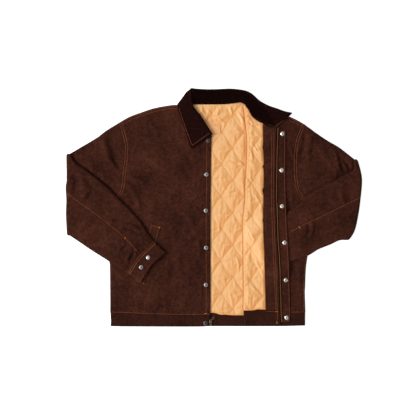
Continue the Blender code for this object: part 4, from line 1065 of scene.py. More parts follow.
LINING_SEEN = (-76, 106)  # from x to x
LINING_FOOT = -331.6
SIDE_COLUMNS = 13  # on each side of the part that shows
WEST, EAST = -1, 1000  # added to the shares, from 0 to 1, that stand for those columns
LINING_NECK = [(-76, 319), (-62, 322), (-9, 321.8), (38, 322.6), (62, 325.2), (82, 327.4), (92, 326), (104, 316),
               (EAST, 314)]


def plan_of(x, y):
    return np.stack(np.broadcast_arrays(x, y), axis=2)


def build_lining_back():
    """The back's lining: plain and inside the seams where the fronts hide it, quilted where it shows."""
    fine = 0.6 * CELL
    seen = np.arange(*LINING_SEEN, fine)
    beside_it = np.linspace(0, 1, SIDE_COLUMNS + 1)
    columns = np.concatenate([beside_it[:-1] + WEST, seen, beside_it[1:] + EAST])
    rows = np.linspace(0, 1, cells(BACK_LONG, fine) + 1)
    west, east = np.arange(len(columns)) < SIDE_COLUMNS, columns > EAST
    neck_y = np.interp(np.where(west, LINING_SEEN[0], columns), *np.array(LINING_NECK, float).T)
    y = LINING_FOOT + (neck_y[None] - LINING_FOOT) * rows[:, None]
    left = np.interp(y, EDGE_R[:, 1], EDGE_R[:, 0])[:, :1] + 15
    right = np.interp(y, EDGE_L[:, 1], EDGE_L[:, 0])[:, :1] - 15
    x = columns[None] + 0 * y
    x[:, west] = left + (seen[0] - left) * (columns[west] - WEST)[None]
    x[:, east] = seen[-1] + (right - seen[-1]) * (columns[east] - EAST)[None]
    y = y + (5.4 * smooth((26 - x) / 30) - 2.2 * smooth((x - 30) / 30) + 0.7 * field(plan_of(x, y), 24, 74)) * smooth(
        (-300 - y) / 24)
    corner = smooth((np.abs(x) - 110) / 190)
    rise = rows[:, None] + 0 * x
    y = y + corner * (12 * (1 - rise) - 60 * rise * rise)
    plan = plan_of(x, y)
    neck = distance(plan, spline(NECK_R, 6))
    open_left = smooth((x + 11) / 10) * (y < 228) + smooth((neck - 1) / 9) * (y >= 228) * smooth((x + 74) / 10)
    shown = open_left * smooth((101 - x) / 10) * smooth((y - y[:1]) / 9) * smooth((neck_y[None] + 1 - y) / 9)
    label = smooth((x + 66) / 8) * smooth((32 - x) / 8) * smooth((y - 214) / 12) * smooth((272 - y) / 10)
    puff, seam = satin(plan, 3)
    hem = 1.1 * np.abs(field(plan, 15, 72, (1.0, 3.0))) * bell((y - y[:1] - 2.6) / 9) * smooth((y - y[:1]) / 2)
    neckline = 1.0 * field(plan, 24, 73, (1.0, 1.6)) * smooth((y - 245) / 40) * smooth((318 - y) / 8)
    puff = puff * (1 - 0.96 * label) + hem + np.maximum(neckline, 0)
    puff = puff + creases(plan, CREASES_LINING) * (1 - label)
    wall("inside_lining_back", raised(plan, LINING_UNDER), SATIN, low=0.0, high=LINING + np.maximum(puff, -0.5) * shown,
         marks=np.where(shown > 0.02, seam, 1.0), rim=rim_of(plan, "bt", 1.0))


CREASES_LINING_L = [
    (3, 1.8, (108, 272), (122, 262), (138, 256)),
    (3, -1.4, (110, 262), (124, 253), (140, 248)),
    (3, 1.6, (126, 232), (140, 224), (154, 218)),
    (3, 1.6, (132, 200), (140, 180), (152, 160)),
    (4, 1.6, (108, 190), (116, 170), (122, 146)),
    (3, 1.6, (118, 196), (132, 178), (146, 162)),
    (3, 1.4, (110, 96), (118, 84), (128, 76)),
    (3, 1.4, (128, 40), (140, 22), (150, -4)),
    (3, 1.5, (108, -60), (118, -84), (128, -100)),
    (3, 1.5, (130, -160), (140, -180), (150, -206)),
    (3, 1.5, (110, -238), (126, -250), (140, -258)),
]
QUILT_SHIFT_L = (14.0, 9.0)
CREASES_LINING = [
    (3, 2.0, (-4, 280), (16, 276), (34, 262)),
    (3, -1.6, (-2, 272), (18, 267), (30, 255)),
    (3, 2.2, (74, 297), (84, 284), (92, 268)),
    (3, -1.6, (66, 292), (78, 278), (86, 262)),
    (3, 2.0, (52, 154), (66, 147), (80, 143), (95, 131)),
    (3, -1.6, (50, 146), (66, 139), (82, 133)),
    (4, 1.8, (50, 316), (54, 300), (58, 284)),
    (3, 1.6, (-40, 306), (-28, 290), (-20, 268)),
    (3, 1.5, (-30, 312), (-14, 298), (-6, 282)),
    (3, 1.5, (8, 316), (14, 300), (10, 286)),
    (4, 1.6, (66, 250), (78, 236), (92, 232)),
    (3, 1.6, (30, 60), (46, 50), (66, 56)),
    (3, 1.5, (4, -30), (16, -52), (20, -80)),
    (3, 1.5, (70, -150), (78, -176), (76, -204)),
]


# ---------------------------------------------------------------- sleeves and cuffs


def ring_half(plan):
    """Half the height of a flattened tube at each column, rounding to nothing at its two folds."""
    steps = np.linalg.norm(np.diff(plan, axis=1), axis=2)
    reach = np.concatenate([np.zeros((len(plan), 1)), np.cumsum(steps, axis=1)], axis=1)
    return HALF_TUBE * rounded(np.minimum(reach, reach[:, -1:] - reach))


def open_part(half):
    """1 where a flattened tube's walls lie apart, so that its cloth is free to crease, and 0 by its folds."""
    return smooth((half / HALF_TUBE - 0.6) / 0.4)


def tube(centre, thin, half, inner_lift=0.0, outer_lift=0.0):
    """Rings of a flattened tube: one wall at centre + thin * half and the other at centre - thin * half."""
    inner = centre + thin * half[..., None] + UP * np.broadcast_to(inner_lift, half.shape)[..., None]
    outer = centre - thin * half[..., None] + UP * np.broadcast_to(outer_lift, half.shape)[..., None]
    return np.concatenate([inner, outer[:, -2:0:-1]], axis=1)


def build_sleeve(side, shape, arm_folds, fore_folds, arm_creases, fore_creases, sewn_arm, sewn_seam):
    out = shape["out"]
    arm_rows, fore_rows = cells(ARM_LONG), cells(FORE_LONG)
    ends = {}
    for key in ("armhole", "elbow", "seam"):
        ends[key] = sampled(shape[key], ACROSS_SLEEVE, True, True)
    hinge_z = (SEAM_MID + FOREARM_MID) / 2
    radius = (FOREARM_MID - SEAM_MID) / 2
    hinge = ends["elbow"] - np.array([out * (radius + HALF_TUBE + CLOTH / 2), 0])
    seed = 100 + 10 * out

    arm = patch(ends["armhole"], sampled(shape["over"], arm_rows), hinge, sampled(shape["under"], arm_rows))
    reach = np.linalg.norm(arm[0] - arm[0, 0], axis=1)
    run = np.gradient(arm[0], axis=0)
    away = np.stack([out * run[:, 1], -out * run[:, 0]], axis=1) / np.linalg.norm(run, axis=1)[:, None]
    pushed = (SEAM_GAP + 2.6 * smooth(1 - reach / 26))[:, None] * away
    for row in range(3):
        arm[row] += pushed * (1 - row / 3)
    half = ring_half(arm)
    open_cloth = open_part(half)
    relief = (folds(arm, arm_folds) + creases(arm, arm_creases, CANVAS_GAIN) + drape(arm, seed)) * open_cloth
    relief *= smooth((off_arm(arm, shape) - 2) / 16) * smooth((distance(arm, ends["armhole"]) - 4) / 16)
    pressed = 3.4 * bell((off_arm(arm, shape) - 2) / 5) * smooth((distance(arm, ends["armhole"]) - 4) / 16)
    relief = np.maximum(relief - pressed * open_cloth, DEEPEST) + grooves(arm, [sewn_arm]) * open_cloth
    parts = [tube(raised(arm, SEAM_MID), UP, half, inner_lift=relief)]

    half_row = half[-1:]
    for angle in np.linspace(0, 180, 15)[1:-1]:
        turn = math.radians(angle)
        centre = raised(hinge[None] + np.array([out * radius * math.sin(turn), 0]), hinge_z - radius * math.cos(turn))
        thin = np.array([-out * math.sin(turn), 0, math.cos(turn)])
        parts.append(tube(centre, thin, half_row))

    fore = patch(hinge, sampled(shape["fore_over"], fore_rows), ends["seam"], sampled(shape["fore_under"], fore_rows))
    half = ring_half(fore)
    sink = shape["settle"] * smooth((distance(fore, hinge) - 8) / 50)
    open_cloth = open_part(half)
    relief = (folds(fore, fore_folds) + creases(fore, fore_creases, CANVAS_GAIN) + drape(fore, seed + 3)) * open_cloth
    gather = 0.8 * field(fore, 16, seed + 6, (1.0, 1.0)) * bell((distance(fore, ends["seam"]) - 8) / 18)
    relief = (relief + gather * open_cloth) * smooth(distance(fore, hinge) / 20)
    relief *= smooth(distance(fore, ends["seam"]) / 14)
    if out > 0:
        relief *= smooth((fore[..., 0] - 246) / 26)
    relief = np.maximum(relief, DEEPEST) + grooves(fore, [spline(sewn_seam)], 2.4, 0.8) * open_cloth
    parts.append(tube(raised(fore, FOREARM_MID - sink), -UP, half, outer_lift=relief))
    wall("shell_sleeve_" + side, np.concatenate(parts), CANVAS, closed=True)
    return ends["seam"]


def build_cuff_left(shape, seam):
    rows = cells(CUFF_LONG)
    plan = patch(seam, sampled(shape["cuff_over"], rows), sampled(shape["cuff_end"], ACROSS_SLEEVE, True, True),
                 sampled(shape["cuff_under"], rows))
    plan[0] = eased(plan[0], plan[1], GAP + 0.1)
    middle = tube(raised(plan, FOREARM_MID - shape["settle"]), -UP, ring_half(plan))
    wall("shell_cuff_left", middle, CANVAS, closed=True)


def build_cuff_right(shape):
    """An open band round the sleeve, whose upper flap laps over the lower one and snaps to it."""
    across = hemmed(np.linspace(0, 1, cells(CUFF_LONG) + 1), CUFF_LONG)
    flap_over, flap_under = 0.47, 0.62  # shares of the way round at which the flaps end
    tight, bent = [0.0042, 0.01, 0.018, 0.031, 0.05], 0.0725  # narrow cells at a fold, and where they end
    many = cells(60)

    def flap(a, b, edge_first):
        shares = np.linspace(a, b, many)
        if edge_first:
            return np.concatenate([[a, a + 0.003, a + 0.011], shares[1:]])
        return np.concatenate([shares[:-1], [b - 0.011, b - 0.003, b]])

    shares = {
        "over": np.concatenate([flap(flap_over, 1 - bent, True), [1 - t for t in reversed(tight)]]),
        "below": np.concatenate([[1.0], [1 - t for t in tight], np.linspace(1 - bent, bent, cells(110)), tight[::-1]]),
        "under": np.concatenate([[0.0], tight, flap(bent, flap_under, False)]),
    }
    side_over, side_under = (along(spline(shape[key]), across) for key in ("cuff_over", "cuff_under"))

    def strip(share):
        seam, end = spline(shape["seam"]), spline(shape["cuff_end"])
        whole = np.linspace(0, 1, 41)
        plan = patch(along(seam, whole), side_over, along(end, whole), side_under)
        column = share * 40
        low = np.minimum(column.astype(int), 39)
        part = (column - low)[None, :, None]
        half = HALF_TUBE * rounded(np.minimum(share, 1 - share) * 124)
        return plan[:, low] * (1 - part) + plan[:, low + 1] * part, half

    pieces = []
    for key, sign in (("over", 1), ("below", -1), ("under", 1)):
        plan, half = strip(shares[key])
        z = FOREARM_MID + sign * np.broadcast_to(half, plan.shape[:2])
        if key == "over":
            z = z + (CLOTH + 0.6) * smooth((0.95 - shares[key]) / 0.26)
        pieces.append(raised(plan, z + (0.12 * field(plan, 26, 91) if sign > 0 else 0)))
    middle = np.concatenate(pieces, axis=1)
    middle[0, :, :2] = eased(middle[0, :, :2], middle[1, :, :2], GAP + 0.1)
    wall("shell_cuff_right", middle, CANVAS, rim=rim_of(middle, "tlr"))
    return middle


# ---------------------------------------------------------------- bands, placket, tapes, welt and label


def build_hem():
    side_r, side_l = np.array([SIDE_R[0], HEM_R[0]], float), np.array([SIDE_L[0], (284, -366)], float)
    down = hemmed(np.linspace(0, 1, cells(HEM_TALL) + 1), HEM_TALL, False, True)

    hem = along(spline([HEM_R[0], (-250, HEM_BOTTOM), (-23, HEM_BOTTOM), (200, HEM_BOTTOM), side_l[1]]),
                stops(HEM_WIDE, HEM_CELLS, True, True))
    plan = patch(sampled(HEM_SEAM_BACK, HEM_CELLS, True, True), along(side_l, down), hem, along(side_r, down))
    plan[0] = eased(plan[0], plan[1], SEAM_GAP)
    shown = smooth((plan[..., 0] + 10) / 20) * smooth((90 - plan[..., 0]) / 10)
    inside = 0.5 * np.maximum(field(plan, 30, 51, (1.6, 1.0)), 0) * shown
    low = -BAND / 2 - inside  # this grid's rows run downwards, so its low side is its top
    wall("shell_hem_back", raised(plan, BAND / 2), BAND_CANVAS, BAND, low=low, rim=rim_of(plan, "t", 1.5))

    count = cells(310)
    top, hem = sampled(HEM_SEAM_R, count), sampled(HEM_R, count)
    plan = patch(top, along(np.array([top[-1], hem[-1]]), down), hem, along(side_r, down))
    plan[0] = eased(plan[0], plan[1], SEAM_GAP)
    middle = raised(plan, front_level(plan) + 0.4 * field(plan, 34, 52, (1.4, 1.0)) + 0.3 * np.maximum(
        field(plan, 14, 57), 0) * bell((plan[..., 1] + 334) / 8))
    wall("shell_hem_right", middle, BAND_CANVAS, thickness=BAND, rim=rim_of(plan, "tr", 1.5))

    fold = np.array([(90 + FOLD_INSET, -330.0), (92 + FOLD_INSET, HEM_BOTTOM + 1)])
    inner = np.array([(90 + FOLD_INSET, HEM_INSIDE_Y), fold[1]])
    shell = np.array([(204.0, HEM_INSIDE_Y), (207.0, LAST_TURNED_Y)])
    count = cells(190)
    under = patch(along(np.array([fold[0], side_l[0]]), stops(190, count, False, True)), along(side_l, down),
                  along(np.array([fold[1], side_l[1]]), stops(190, count, False, True)), along(fold, down))
    under[0] = eased(under[0], under[1], SEAM_GAP)
    shares = np.linspace(0, 1, cells(110) + 1)
    top = along(np.array([inner[0], shell[0]]), shares)
    top[:, 1] += 3.4 * smooth((top[:, 0] - 112) / 34) * smooth((163 - top[:, 0]) / 4)
    turned = patch(top, along(shell, down), along(np.array([fold[1], shell[1]]), shares), along(inner, down))
    x, y = turned[..., 0], turned[..., 1]
    lapped = 2.6 * smooth((y + 338) / 7)
    sunk = 1.0 * bell((y + 352) / 5) * smooth((x - 104) / 12) * smooth((160 - x) / 20)
    over = turned_level(turned) + 0.3 + lapped + 0.35 * field(turned, 30, 53, (1.5, 1.0)) - sunk
    level = front_level(under) + 0.25 * field(under, 30, 54) * smooth((under[..., 0] - 240) / 10)
    middle, _ = folded(under, level, turned, over)
    wall("shell_hem_left", middle, BAND_CANVAS, thickness=BAND, rim=rim_of(middle, "tr", 1.5))


def opening_rows(size=CELL):
    """The edge of the folded-back shell, and on down the hem band."""
    edge = level_with(SHELL_EDGE_L, along(EDGE_L, np.linspace(0, 1, cells(650, size))))
    return np.vstack([along(np.array([(206, -354.7), (204.3, -333.0)]), np.linspace(0, 1, cells(22, size))), edge])


def build_placket():
    edge = opening_rows()
    edge = edge[edge[:, 1] < PLACKET_TOP]
    rows = hemmed(shares_of(edge), length_of(edge))
    edge = along(edge, rows)
    free = spline(PLACKET_FREE_L)
    outer = np.stack([np.interp(edge[:, 1], free[:, 1], free[:, 0]), edge[:, 1]], axis=1)
    inner = edge - np.array([PLACKET_UNDER, 0])
    shares = hemmed(np.linspace(0, 1, cells(PLACKET_WIDE, 2.4) + 1), PLACKET_WIDE)[None, :, None]
    plan = inner[:, None] * (1 - shares) + outer[:, None] * shares
    half = PLACKET / 2
    ripple = 0.3 * field(plan, 18, 56, (1.0, 1.8)) * smooth((plan[..., 0] - edge[:, None, 0] - 12) / 6)
    bumps = 0.25 * field(plan, 45, 55) + grooves(plan, [PLACKET_STITCH], 2.0, 0.5) + ripple
    middle = raised(plan, support(plan) + GAP + half)
    wall("shell_placket", middle, CANVAS, low=-half, high=half + bumps, rim=rim_of(plan, "btlr", half))
    return middle


TAPE_LIFT = 0.4  # of the left tape over the placket, beyond the gap
TAPE_DIP = 0.35  # of the right tape under the hem band


def build_tapes():
    edge = opening_rows(2 * CELL)
    across = np.linspace(0.9, 8.6, 6)
    plan = edge[:, None] + np.stack([across, 0 * across], axis=1)[None]
    middle = raised(plan, support(plan) + GAP + PLACKET + GAP + TAPE / 2 + TAPE_LIFT)
    wall("zipper_tape_left", middle, TAPE_CLOTH, thickness=TAPE)
    line = edge + np.array([5.2, 0])
    teeth_l = raised(line, support(line) + GAP + PLACKET + GAP + TAPE + TAPE_LIFT)

    edge = level_with(FRONT_EDGE_R, EDGE_R)
    edge = np.vstack([[(-14.6, -354.7), (-13.6, -342.3)], edge[edge[:, 1] < TAPE_TOP_R]])
    across = np.linspace(-22.0, 1.0, 8)
    plan = edge[:, None] + np.stack([across, 0 * across], axis=1)[None]
    level = front_level(plan) - CLOTH / 2 - GAP - TAPE / 2 - TAPE_DIP * smooth((-326 - plan[..., 1]) / 8)
    wall("zipper_tape_right", raised(plan, level), TAPE_CLOTH, thickness=TAPE)
    line = edge + np.array([-0.6, 0])
    level = front_level(line) - CLOTH / 2 - GAP - TAPE - TAPE_DIP * smooth((-326 - line[:, 1]) / 8)
    teeth_r = raised(line, level - 0.1)
    return teeth_l, teeth_r


def build_teeth(name, line, pitch, size):
    """A row of small bevelled metal teeth astride a tape's edge."""
    wide, deep, tall = size
    count = int(length_of(line) / pitch)
    at = along(line, (np.arange(count) + 0.5) / count)
    ahead = along(line, np.minimum((np.arange(count) + 0.6) / count, 1)) - at
    ahead /= np.linalg.norm(ahead, axis=1, keepdims=True)
    side = np.cross(ahead, UP)
    points, faces = [], []
    ring = [(-1, -1), (1, -1), (1, 1), (-1, 1)]
    for k in range(count):
        start = len(points)
        for share, z in ((1.0, -0.2), (1.0, 0.55), (0.62, 1.0)):
            for a, b in ring:
                across = side[k] * a * wide / 2 * share
                points.append(at[k] + across + ahead[k] * b * deep / 2 * share + UP * z * tall)
        for low in (start, start + 4):
            for j in range(4):
                after = (j + 1) % 4
                faces.append([low + j, low + after, low + 4 + after, low + 4 + j])
        faces.append([start + 8, start + 9, start + 10, start + 11])
        faces.append([start + 3, start + 2, start + 1, start])
    mesh = mesh_of(name, np.array(points) * MM, faces)
    mesh.materials.append(BRASS)
    obj = placed(name, mesh)
    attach(obj, "garment")
    return obj


def height_on(middle):
    """Height of a grid of points at x and y, when its rows are nearly level and its columns nearly upright."""

    def height(x, y):
        rows = np.array([[np.interp(x, row[:, 0], row[:, k]) for k in (1, 2)] for row in middle])
        return float(np.interp(y, rows[:, 0], rows[:, 1]))

    return height


def build_welt_and_label(front):
    a, b, c, d = (np.array(p, float) for p in WELT)
    across = hemmed(np.linspace(0, 1, 11), WELT_WIDE)
    rows = hemmed(np.linspace(0, 1, cells(WELT_LONG, 4)), WELT_LONG)
    plan = patch(a + (b - a) * across[:, None], b + (c - b) * rows[:, None], d + (c - d) * across[:, None],
                 a + (d - a) * rows[:, None])
    on_front = height_on(front[::3, ::2])
    z = np.array([[on_front(x, y) for x, y in row] for row in plan[::4, ::3]])
    z = np.array([np.interp(np.arange(plan.shape[1]), np.arange(plan.shape[1])[::3], row) for row in z])
    z = np.array([np.interp(np.arange(plan.shape[0]), np.arange(plan.shape[0])[::4], col) for col in z.T]).T
    outline = np.array([a, b, c, d, a])
    sewn = 0.3 * bell((distance(plan, outline) - 2.4) / 1.2)
    wall("shell_pocket_welt", raised(plan, z + CLOTH / 2 + GAP + 0.9), CANVAS, low=-WELT_HALF,
         high=WELT_HALF - sewn + 0.12 * field(plan, 20, 95), rim=rim_of(plan, "btlr", 0.9))

    x, y = (hemmed(np.linspace(0, 1, count), size) * size + start for count, size, start in (
        (27, LABEL_WIDE, LABEL_X), (11, LABEL_TALL, LABEL_Y)))
    plan = np.stack(np.meshgrid(x, y), axis=2)
    middle = raised(plan, LINING_UNDER + LINING + 0.8 + 0.25 * field(plan, 26, 96))
    wall("neck_label", middle, LABEL, thickness=LABEL_CLOTH, rim=rim_of(plan, "btlr", 0.5))


# ---------------------------------------------------------------- collar

# Each row: x, y, z on the neck seam, on top of the roll and on the free edge, then two angles in degrees: the bearing
# away from the neck, and how far the roll leans that way from upright
COLLAR = [
    (-15, 220, 12.4, -3, 228.5, 14.3, -69, 181, 11.4, 216, -90),
    (-30, 238, 12.2, -16, 248, 14.1, -79, 207, 11.2, 211, -90),
    (-42, 256, 12.0, -27.5, 267, 13.9, -91, 247, 11.0, 203, -90),
    (-58, 276, 11.4, -41.5, 288, 13.4, -106, 289, 11.0, 190, -90),
    (-70, 295, 11.2, -54, 303, 14.2, -112, 308, 11.0, 187, -86),
    (-78, 309, 10.6, -64, 317, 16.0, -113, 320, 8.8, 178, -60),
    (-68, 320.6, 8.6, -68, 333, 17.0, -105, 331, 6.0, 176, -20),
    (-61, 320.8, 6.8, -72.5, 354, 14.0, -93, 347, 3.6, 160, 14),
    (-54, 320.8, 5.8, -71, 369.5, 10.0, -80, 361, 1.9, 128, 46),
    (-42, 320.6, 4.8, -54, 369.5, 6.4, -60, 348, 1.5, 102, 76),
    (-20, 320.6, 4.3, -20, 368, 4.4, -22, 332, 1.4, 90, 90),
    (10, 320.6, 4.3, 12, 368.5, 4.4, 12, 332, 1.4, 90, 90),
    (38, 321.4, 4.8, 48, 370, 4.6, 45, 333, 1.4, 86, 90),
    (62, 324, 6.6, 74, 368, 6.6, 70, 336, 3.2, 80, 90),
    (84, 326, 10.6, 100, 363, 9.4, 90, 337, 6.0, 66, 88),
    (101, 316, 14.0, 119.5, 353, 12.0, 112, 328, 9.6, 54, 88),
    (113, 299, 15.0, 143, 332, 13.0, 132, 312, 10.9, 46, 88),
    (127, 283, 15.2, 170, 317, 13.2, 154, 300, 11.0, 42, 90),
    (146, 270, 15.2, 196, 308, 13.2, 179, 291, 11.0, 44, 90),
    (168, 260, 15.2, 221, 299, 13.2, 203, 281, 11.0, 44, 90),
    (194, 253, 15.2, 245, 294, 13.2, 226, 275, 11.0, 43, 90),
]
ROLL_R = 2.4
# Where the stand rolls over
ROLL_RIGHT = [(60, 370), (88, 362), (112, 347), (140, 320), (169, 297), (184, 272), (193, 248)]
TURN_LEFT = np.array([(-64, 321), (-62, 371)], float)


def build_collar():
    stand_at = np.concatenate([[0, 0.015, 0.05], np.linspace(0.1, 0.97, 20)])
    fall_at = np.concatenate([np.linspace(0.05, 0.95, 19), [0.985, 1.0]])
    rows = []
    for row in spline(COLLAR, 9):
        seam, top, edge = row[:9].reshape(3, 3)
        bearing, lean = (math.radians(angle) for angle in row[9:])
        outward = np.array([math.cos(bearing), math.sin(bearing), 0])
        roll = outward * math.sin(lean) + UP * math.cos(lean)
        across = outward * math.cos(lean) - UP * math.sin(lean)
        centre = top - roll * (ROLL_R + COLLAR_CLOTH / 2)
        turns = np.radians(np.linspace(0, 180, 11))
        bend = [centre + ROLL_R * (roll * math.sin(t) - across * math.cos(t)) for t in turns]
        stand = [seam + (bend[0] - seam) * t for t in stand_at]
        fall = [bend[-1] + (edge - bend[-1]) * np.array([t, t, t * t]) for t in fall_at]
        rows.append(stand + bend + fall)
    middle = np.array(rows)
    ends = [0, 0.05, 0.2]
    first = [middle[0] + (middle[1] - middle[0]) * t for t in ends]
    last = [middle[-1] + (middle[-2] - middle[-1]) * t for t in ends]
    middle = np.concatenate([first, middle[1:-1], last[::-1]])
    wave = 0.35 * field(middle[..., :2], 34, 97) + 0.2 * field(middle[..., :2], 15, 98)
    step = np.linalg.norm(middle - middle[:, :1], axis=2)
    wave *= smooth(step / 12) * smooth(np.linalg.norm(middle - middle[:, -1:], axis=2) / 10)
    x, y = middle[..., 0], middle[..., 1]
    roll = np.array(ROLL_RIGHT, float)
    leaf = smooth((-63 - x) / 3 + 0.5) * (y > 300) + smooth((10 - x) / 20) * (y <= 300)
    strip = smooth((y - np.interp(x, roll[:, 0], roll[:, 1])) / 3 + 0.5) * smooth((x - 56) / 8)
    wave += sum(height * bell(distance(middle, line) / 2.5) for height, line in (
        (0.9, roll), (0.7, TURN_LEFT)))
    # a painted highlight line along the top of the collar at the back
    painted_highlight_line = 0.75 * bell((y - 365) / 1.5) * (x > -52) * (x < 62)
    # marks of painted sheen: the left leaf's fall and the outer strip on the right are lighter where the nap catches
    # the light
    wall("corduroy_collar", middle, CORDUROY, low=-COLLAR_CLOTH / 2 + 0 * wave, high=COLLAR_CLOTH / 2 + wave,
         rim=rim_of(middle, "btr", 1.2), marks=np.clip(leaf + strip + painted_highlight_line, 0, 1))


# ---------------------------------------------------------------- snaps and sewing

# radius, height
SOCKET = [(0, 0.7), (1.9, 0.55), (2.2, 0.8), (2.4, 1.6), (2.8, 1.95), (3.4, 2.0), (4.1, 1.85), (4.8, 1.5), (5.5, 1.0),
          (6.1, 0.6), (6.7, 0.45), (6.9, 0.25), (6.7, 0.0)]
STUD = [(0, 1.0), (1.9, 1.05), (2.05, 2.4), (2.3, 2.8), (2.7, 2.75), (3.05, 2.4), (3.1, 1.9), (3.0, 1.6), (3.3, 1.45),
        (4.0, 1.6), (5.0, 1.6), (5.8, 1.35), (6.3, 0.95), (6.6, 0.5), (6.6, 0.25), (6.4, 0.0)]
CAP = [(0, 1.9), (1.6, 1.88), (3.2, 1.78), (4.6, 1.5), (5.5, 1.12), (6.0, 0.85), (6.4, 0.6), (6.5, 0.3), (6.3, 0.0)]


SNAP_SIDES = 40


def snap(cad, profile, hollow, hollow_material, face=STEEL):
    """A turned fastener standing where its CAD node stands, whose first rings are of another material."""
    co = np.array([v.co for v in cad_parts[cad].data.vertices])
    co = np.unique(np.round(co, 6), axis=0)
    centre = co.mean(0)
    axis = np.linalg.svd(co - centre)[2][2]
    axis = axis if axis[2] > 0 else -axis
    foot = centre + axis * ((co - centre) @ axis).min()
    east = np.cross([0.0, 1.0, 0.0], axis)
    east /= np.linalg.norm(east)
    north = np.cross(axis, east)
    points, faces = [], []
    for radius, height in profile:
        for k in range(SNAP_SIDES):
            turn = math.tau * k / SNAP_SIDES
            points.append(foot + MM * (radius * (east * math.cos(turn) + north * math.sin(turn)) + height * axis))
    for ring in range(len(profile) - 1):
        for k in range(SNAP_SIDES):
            a, b = ring * SNAP_SIDES + k, ring * SNAP_SIDES + (k + 1) % SNAP_SIDES
            faces.append([b, a, a + SNAP_SIDES, b + SNAP_SIDES])
    last = (len(profile) - 1) * SNAP_SIDES
    faces.append([last + k for k in reversed(range(SNAP_SIDES))])
    mesh = mesh_of("snap_" + cad, points, faces)
    mesh.materials.append(face)
    mesh.materials.append(hollow_material)
    for poly in mesh.polygons[: hollow * SNAP_SIDES]:
        poly.material_index = 1
    mesh.shade_smooth()
    mesh.set_sharp_from_angle(angle=SHARP)
    obj = placed(mesh.name, mesh)
    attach(obj, "garment")
    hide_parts(cad)


STITCH_SIDES = 5
STITCH_SPAN = np.array([-0.5, -0.24, 0.24, 0.5])  # where its rings stand along a stitch
STITCH_DIP = np.array([-0.3, 0.1, 0.1, -0.3])  # their heights over the cloth
STITCH_TAPER = (0.6, 1.0, 1.0, 0.6)
STEEPEST = 2.5  # a stitch that would climb more than this falls between two layers, and is left out


def sew(name, runs, material=THREAD, pitch=3.5, fill=0.76, wide=0.6, tall=0.42):
    """Separate stitches that dip into the cloth at both ends, along lines in plan on named pieces."""
    points, faces = [], []
    for piece, line in runs:
        tree = BVHTree.FromObject(PIECES[piece], GRAPH)
        line = np.asarray(line, float)[:, :2]
        count = max(1, int(length_of(line) / pitch))
        shares = (np.arange(count)[:, None] + 0.5 + fill * STITCH_SPAN) / count
        plan = along(line, shares.ravel()).reshape(count, 4, 2)
        for stitch in plan:
            hits = [tree.ray_cast(Vector((x * MM, y * MM, 0.1)), Vector((0, 0, -1)))[0] for x, y in stitch]
            if any(hit is None for hit in hits):
                continue
            z = np.array([hit.z for hit in hits]) / MM
            if np.ptp(z) > STEEPEST:
                continue
            z += STITCH_DIP
            run = stitch[-1] - stitch[0]
            side = np.array([-run[1], run[0]]) / max(np.linalg.norm(run), 1e-6)
            start = len(points)
            for (x, y), level, share in zip(stitch, z, STITCH_TAPER):
                for k in range(STITCH_SIDES):
                    turn = math.tau * (k + 0.25) / STITCH_SIDES
                    off = side * wide * share * math.cos(turn)
                    points.append((x + off[0], y + off[1], level + tall * share * math.sin(turn)))
            for ring in range(3):
                first = start + ring * STITCH_SIDES
                for k in range(STITCH_SIDES):
                    a, b = first + k, first + (k + 1) % STITCH_SIDES
                    faces.append([a, b, b + STITCH_SIDES, a + STITCH_SIDES])
            faces.append([start + k for k in reversed(range(STITCH_SIDES))])
            faces.append([start + 3 * STITCH_SIDES + k for k in range(STITCH_SIDES)])
    mesh = mesh_of(name, np.array(points) * MM, faces)
    mesh.materials.append(material)
    mesh.shade_smooth()
    obj = placed(name, mesh)
    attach(obj, "garment")
    return obj


def on(piece, *lines):
    return [(piece, line) for line in lines]


def tack(piece, x, y, bearing, length, width=2.6):
    """The close cross stitches of a bartack, as short lines on a piece."""
    turn = math.radians(bearing)
    ahead, side = np.array([math.cos(turn), math.sin(turn)]), np.array([-math.sin(turn), math.cos(turn)])
    middle, reach = np.array([x, y]), side * width / 2
    return on(piece, *([middle + ahead * d - reach, middle + ahead * (d + 0.5) + reach]
                       for d in np.arange(-length / 2, length / 2, 0.9)))


CLEAR_BY = 2.0


def clear_of(line, shape):
    """The stretches of a line that a forearm doesn't cover."""
    runs = [[]]
    for point, away in zip(line, off_arm(line[None], shape)[0]):
        if away > CLEAR_BY:
            runs[-1].append(point)
        else:
            runs.append([])
    return [np.array(run) for run in runs if len(run) > 2]


def box_line(corners, inset):
    """A closed line inside a four-cornered outline."""
    pts = np.array(corners, float)
    out = []
    for i in range(4):
        a, b, c = pts[i - 1], pts[i], pts[(i + 1) % 4]
        u, v = (a - b) / np.linalg.norm(a - b), (c - b) / np.linalg.norm(c - b)
        out.append(b + (u + v) * inset / abs(np.cross(u, v)))
    return [np.array([out[i], out[(i + 1) % 4]]) for i in range(4)]


# ---------------------------------------------------------------- the jacket

build_back()
build_lining_back()
front_middle = build_front_right()
build_front_left()
build_left_inside()
for side_name, *shape_and_creases in (
    ("right", SLEEVE_R, FOLDS_SLEEVE_R, FOLDS_FOREARM_R, CREASES_ARM_R, CREASES_FORE_R, ARM_SLEEVE_R, SLEEVE_SEAM_R),
    ("left", SLEEVE_L, FOLDS_SLEEVE_L, FOLDS_FOREARM_L, CREASES_ARM_L, CREASES_FORE_L, ARM_SLEEVE_L, SLEEVE_SEAM_L),
):
    wrist = build_sleeve(side_name, *shape_and_creases)
    if side_name == "left":
        build_cuff_left(shape_and_creases[0], wrist)
    else:
        build_cuff_right(shape_and_creases[0])
build_hem()
build_placket()
teeth_left, teeth_right = build_tapes()
build_welt_and_label(front_middle)
build_collar()

bpy.context.view_layer.update()
GRAPH = bpy.context.evaluated_depsgraph_get()

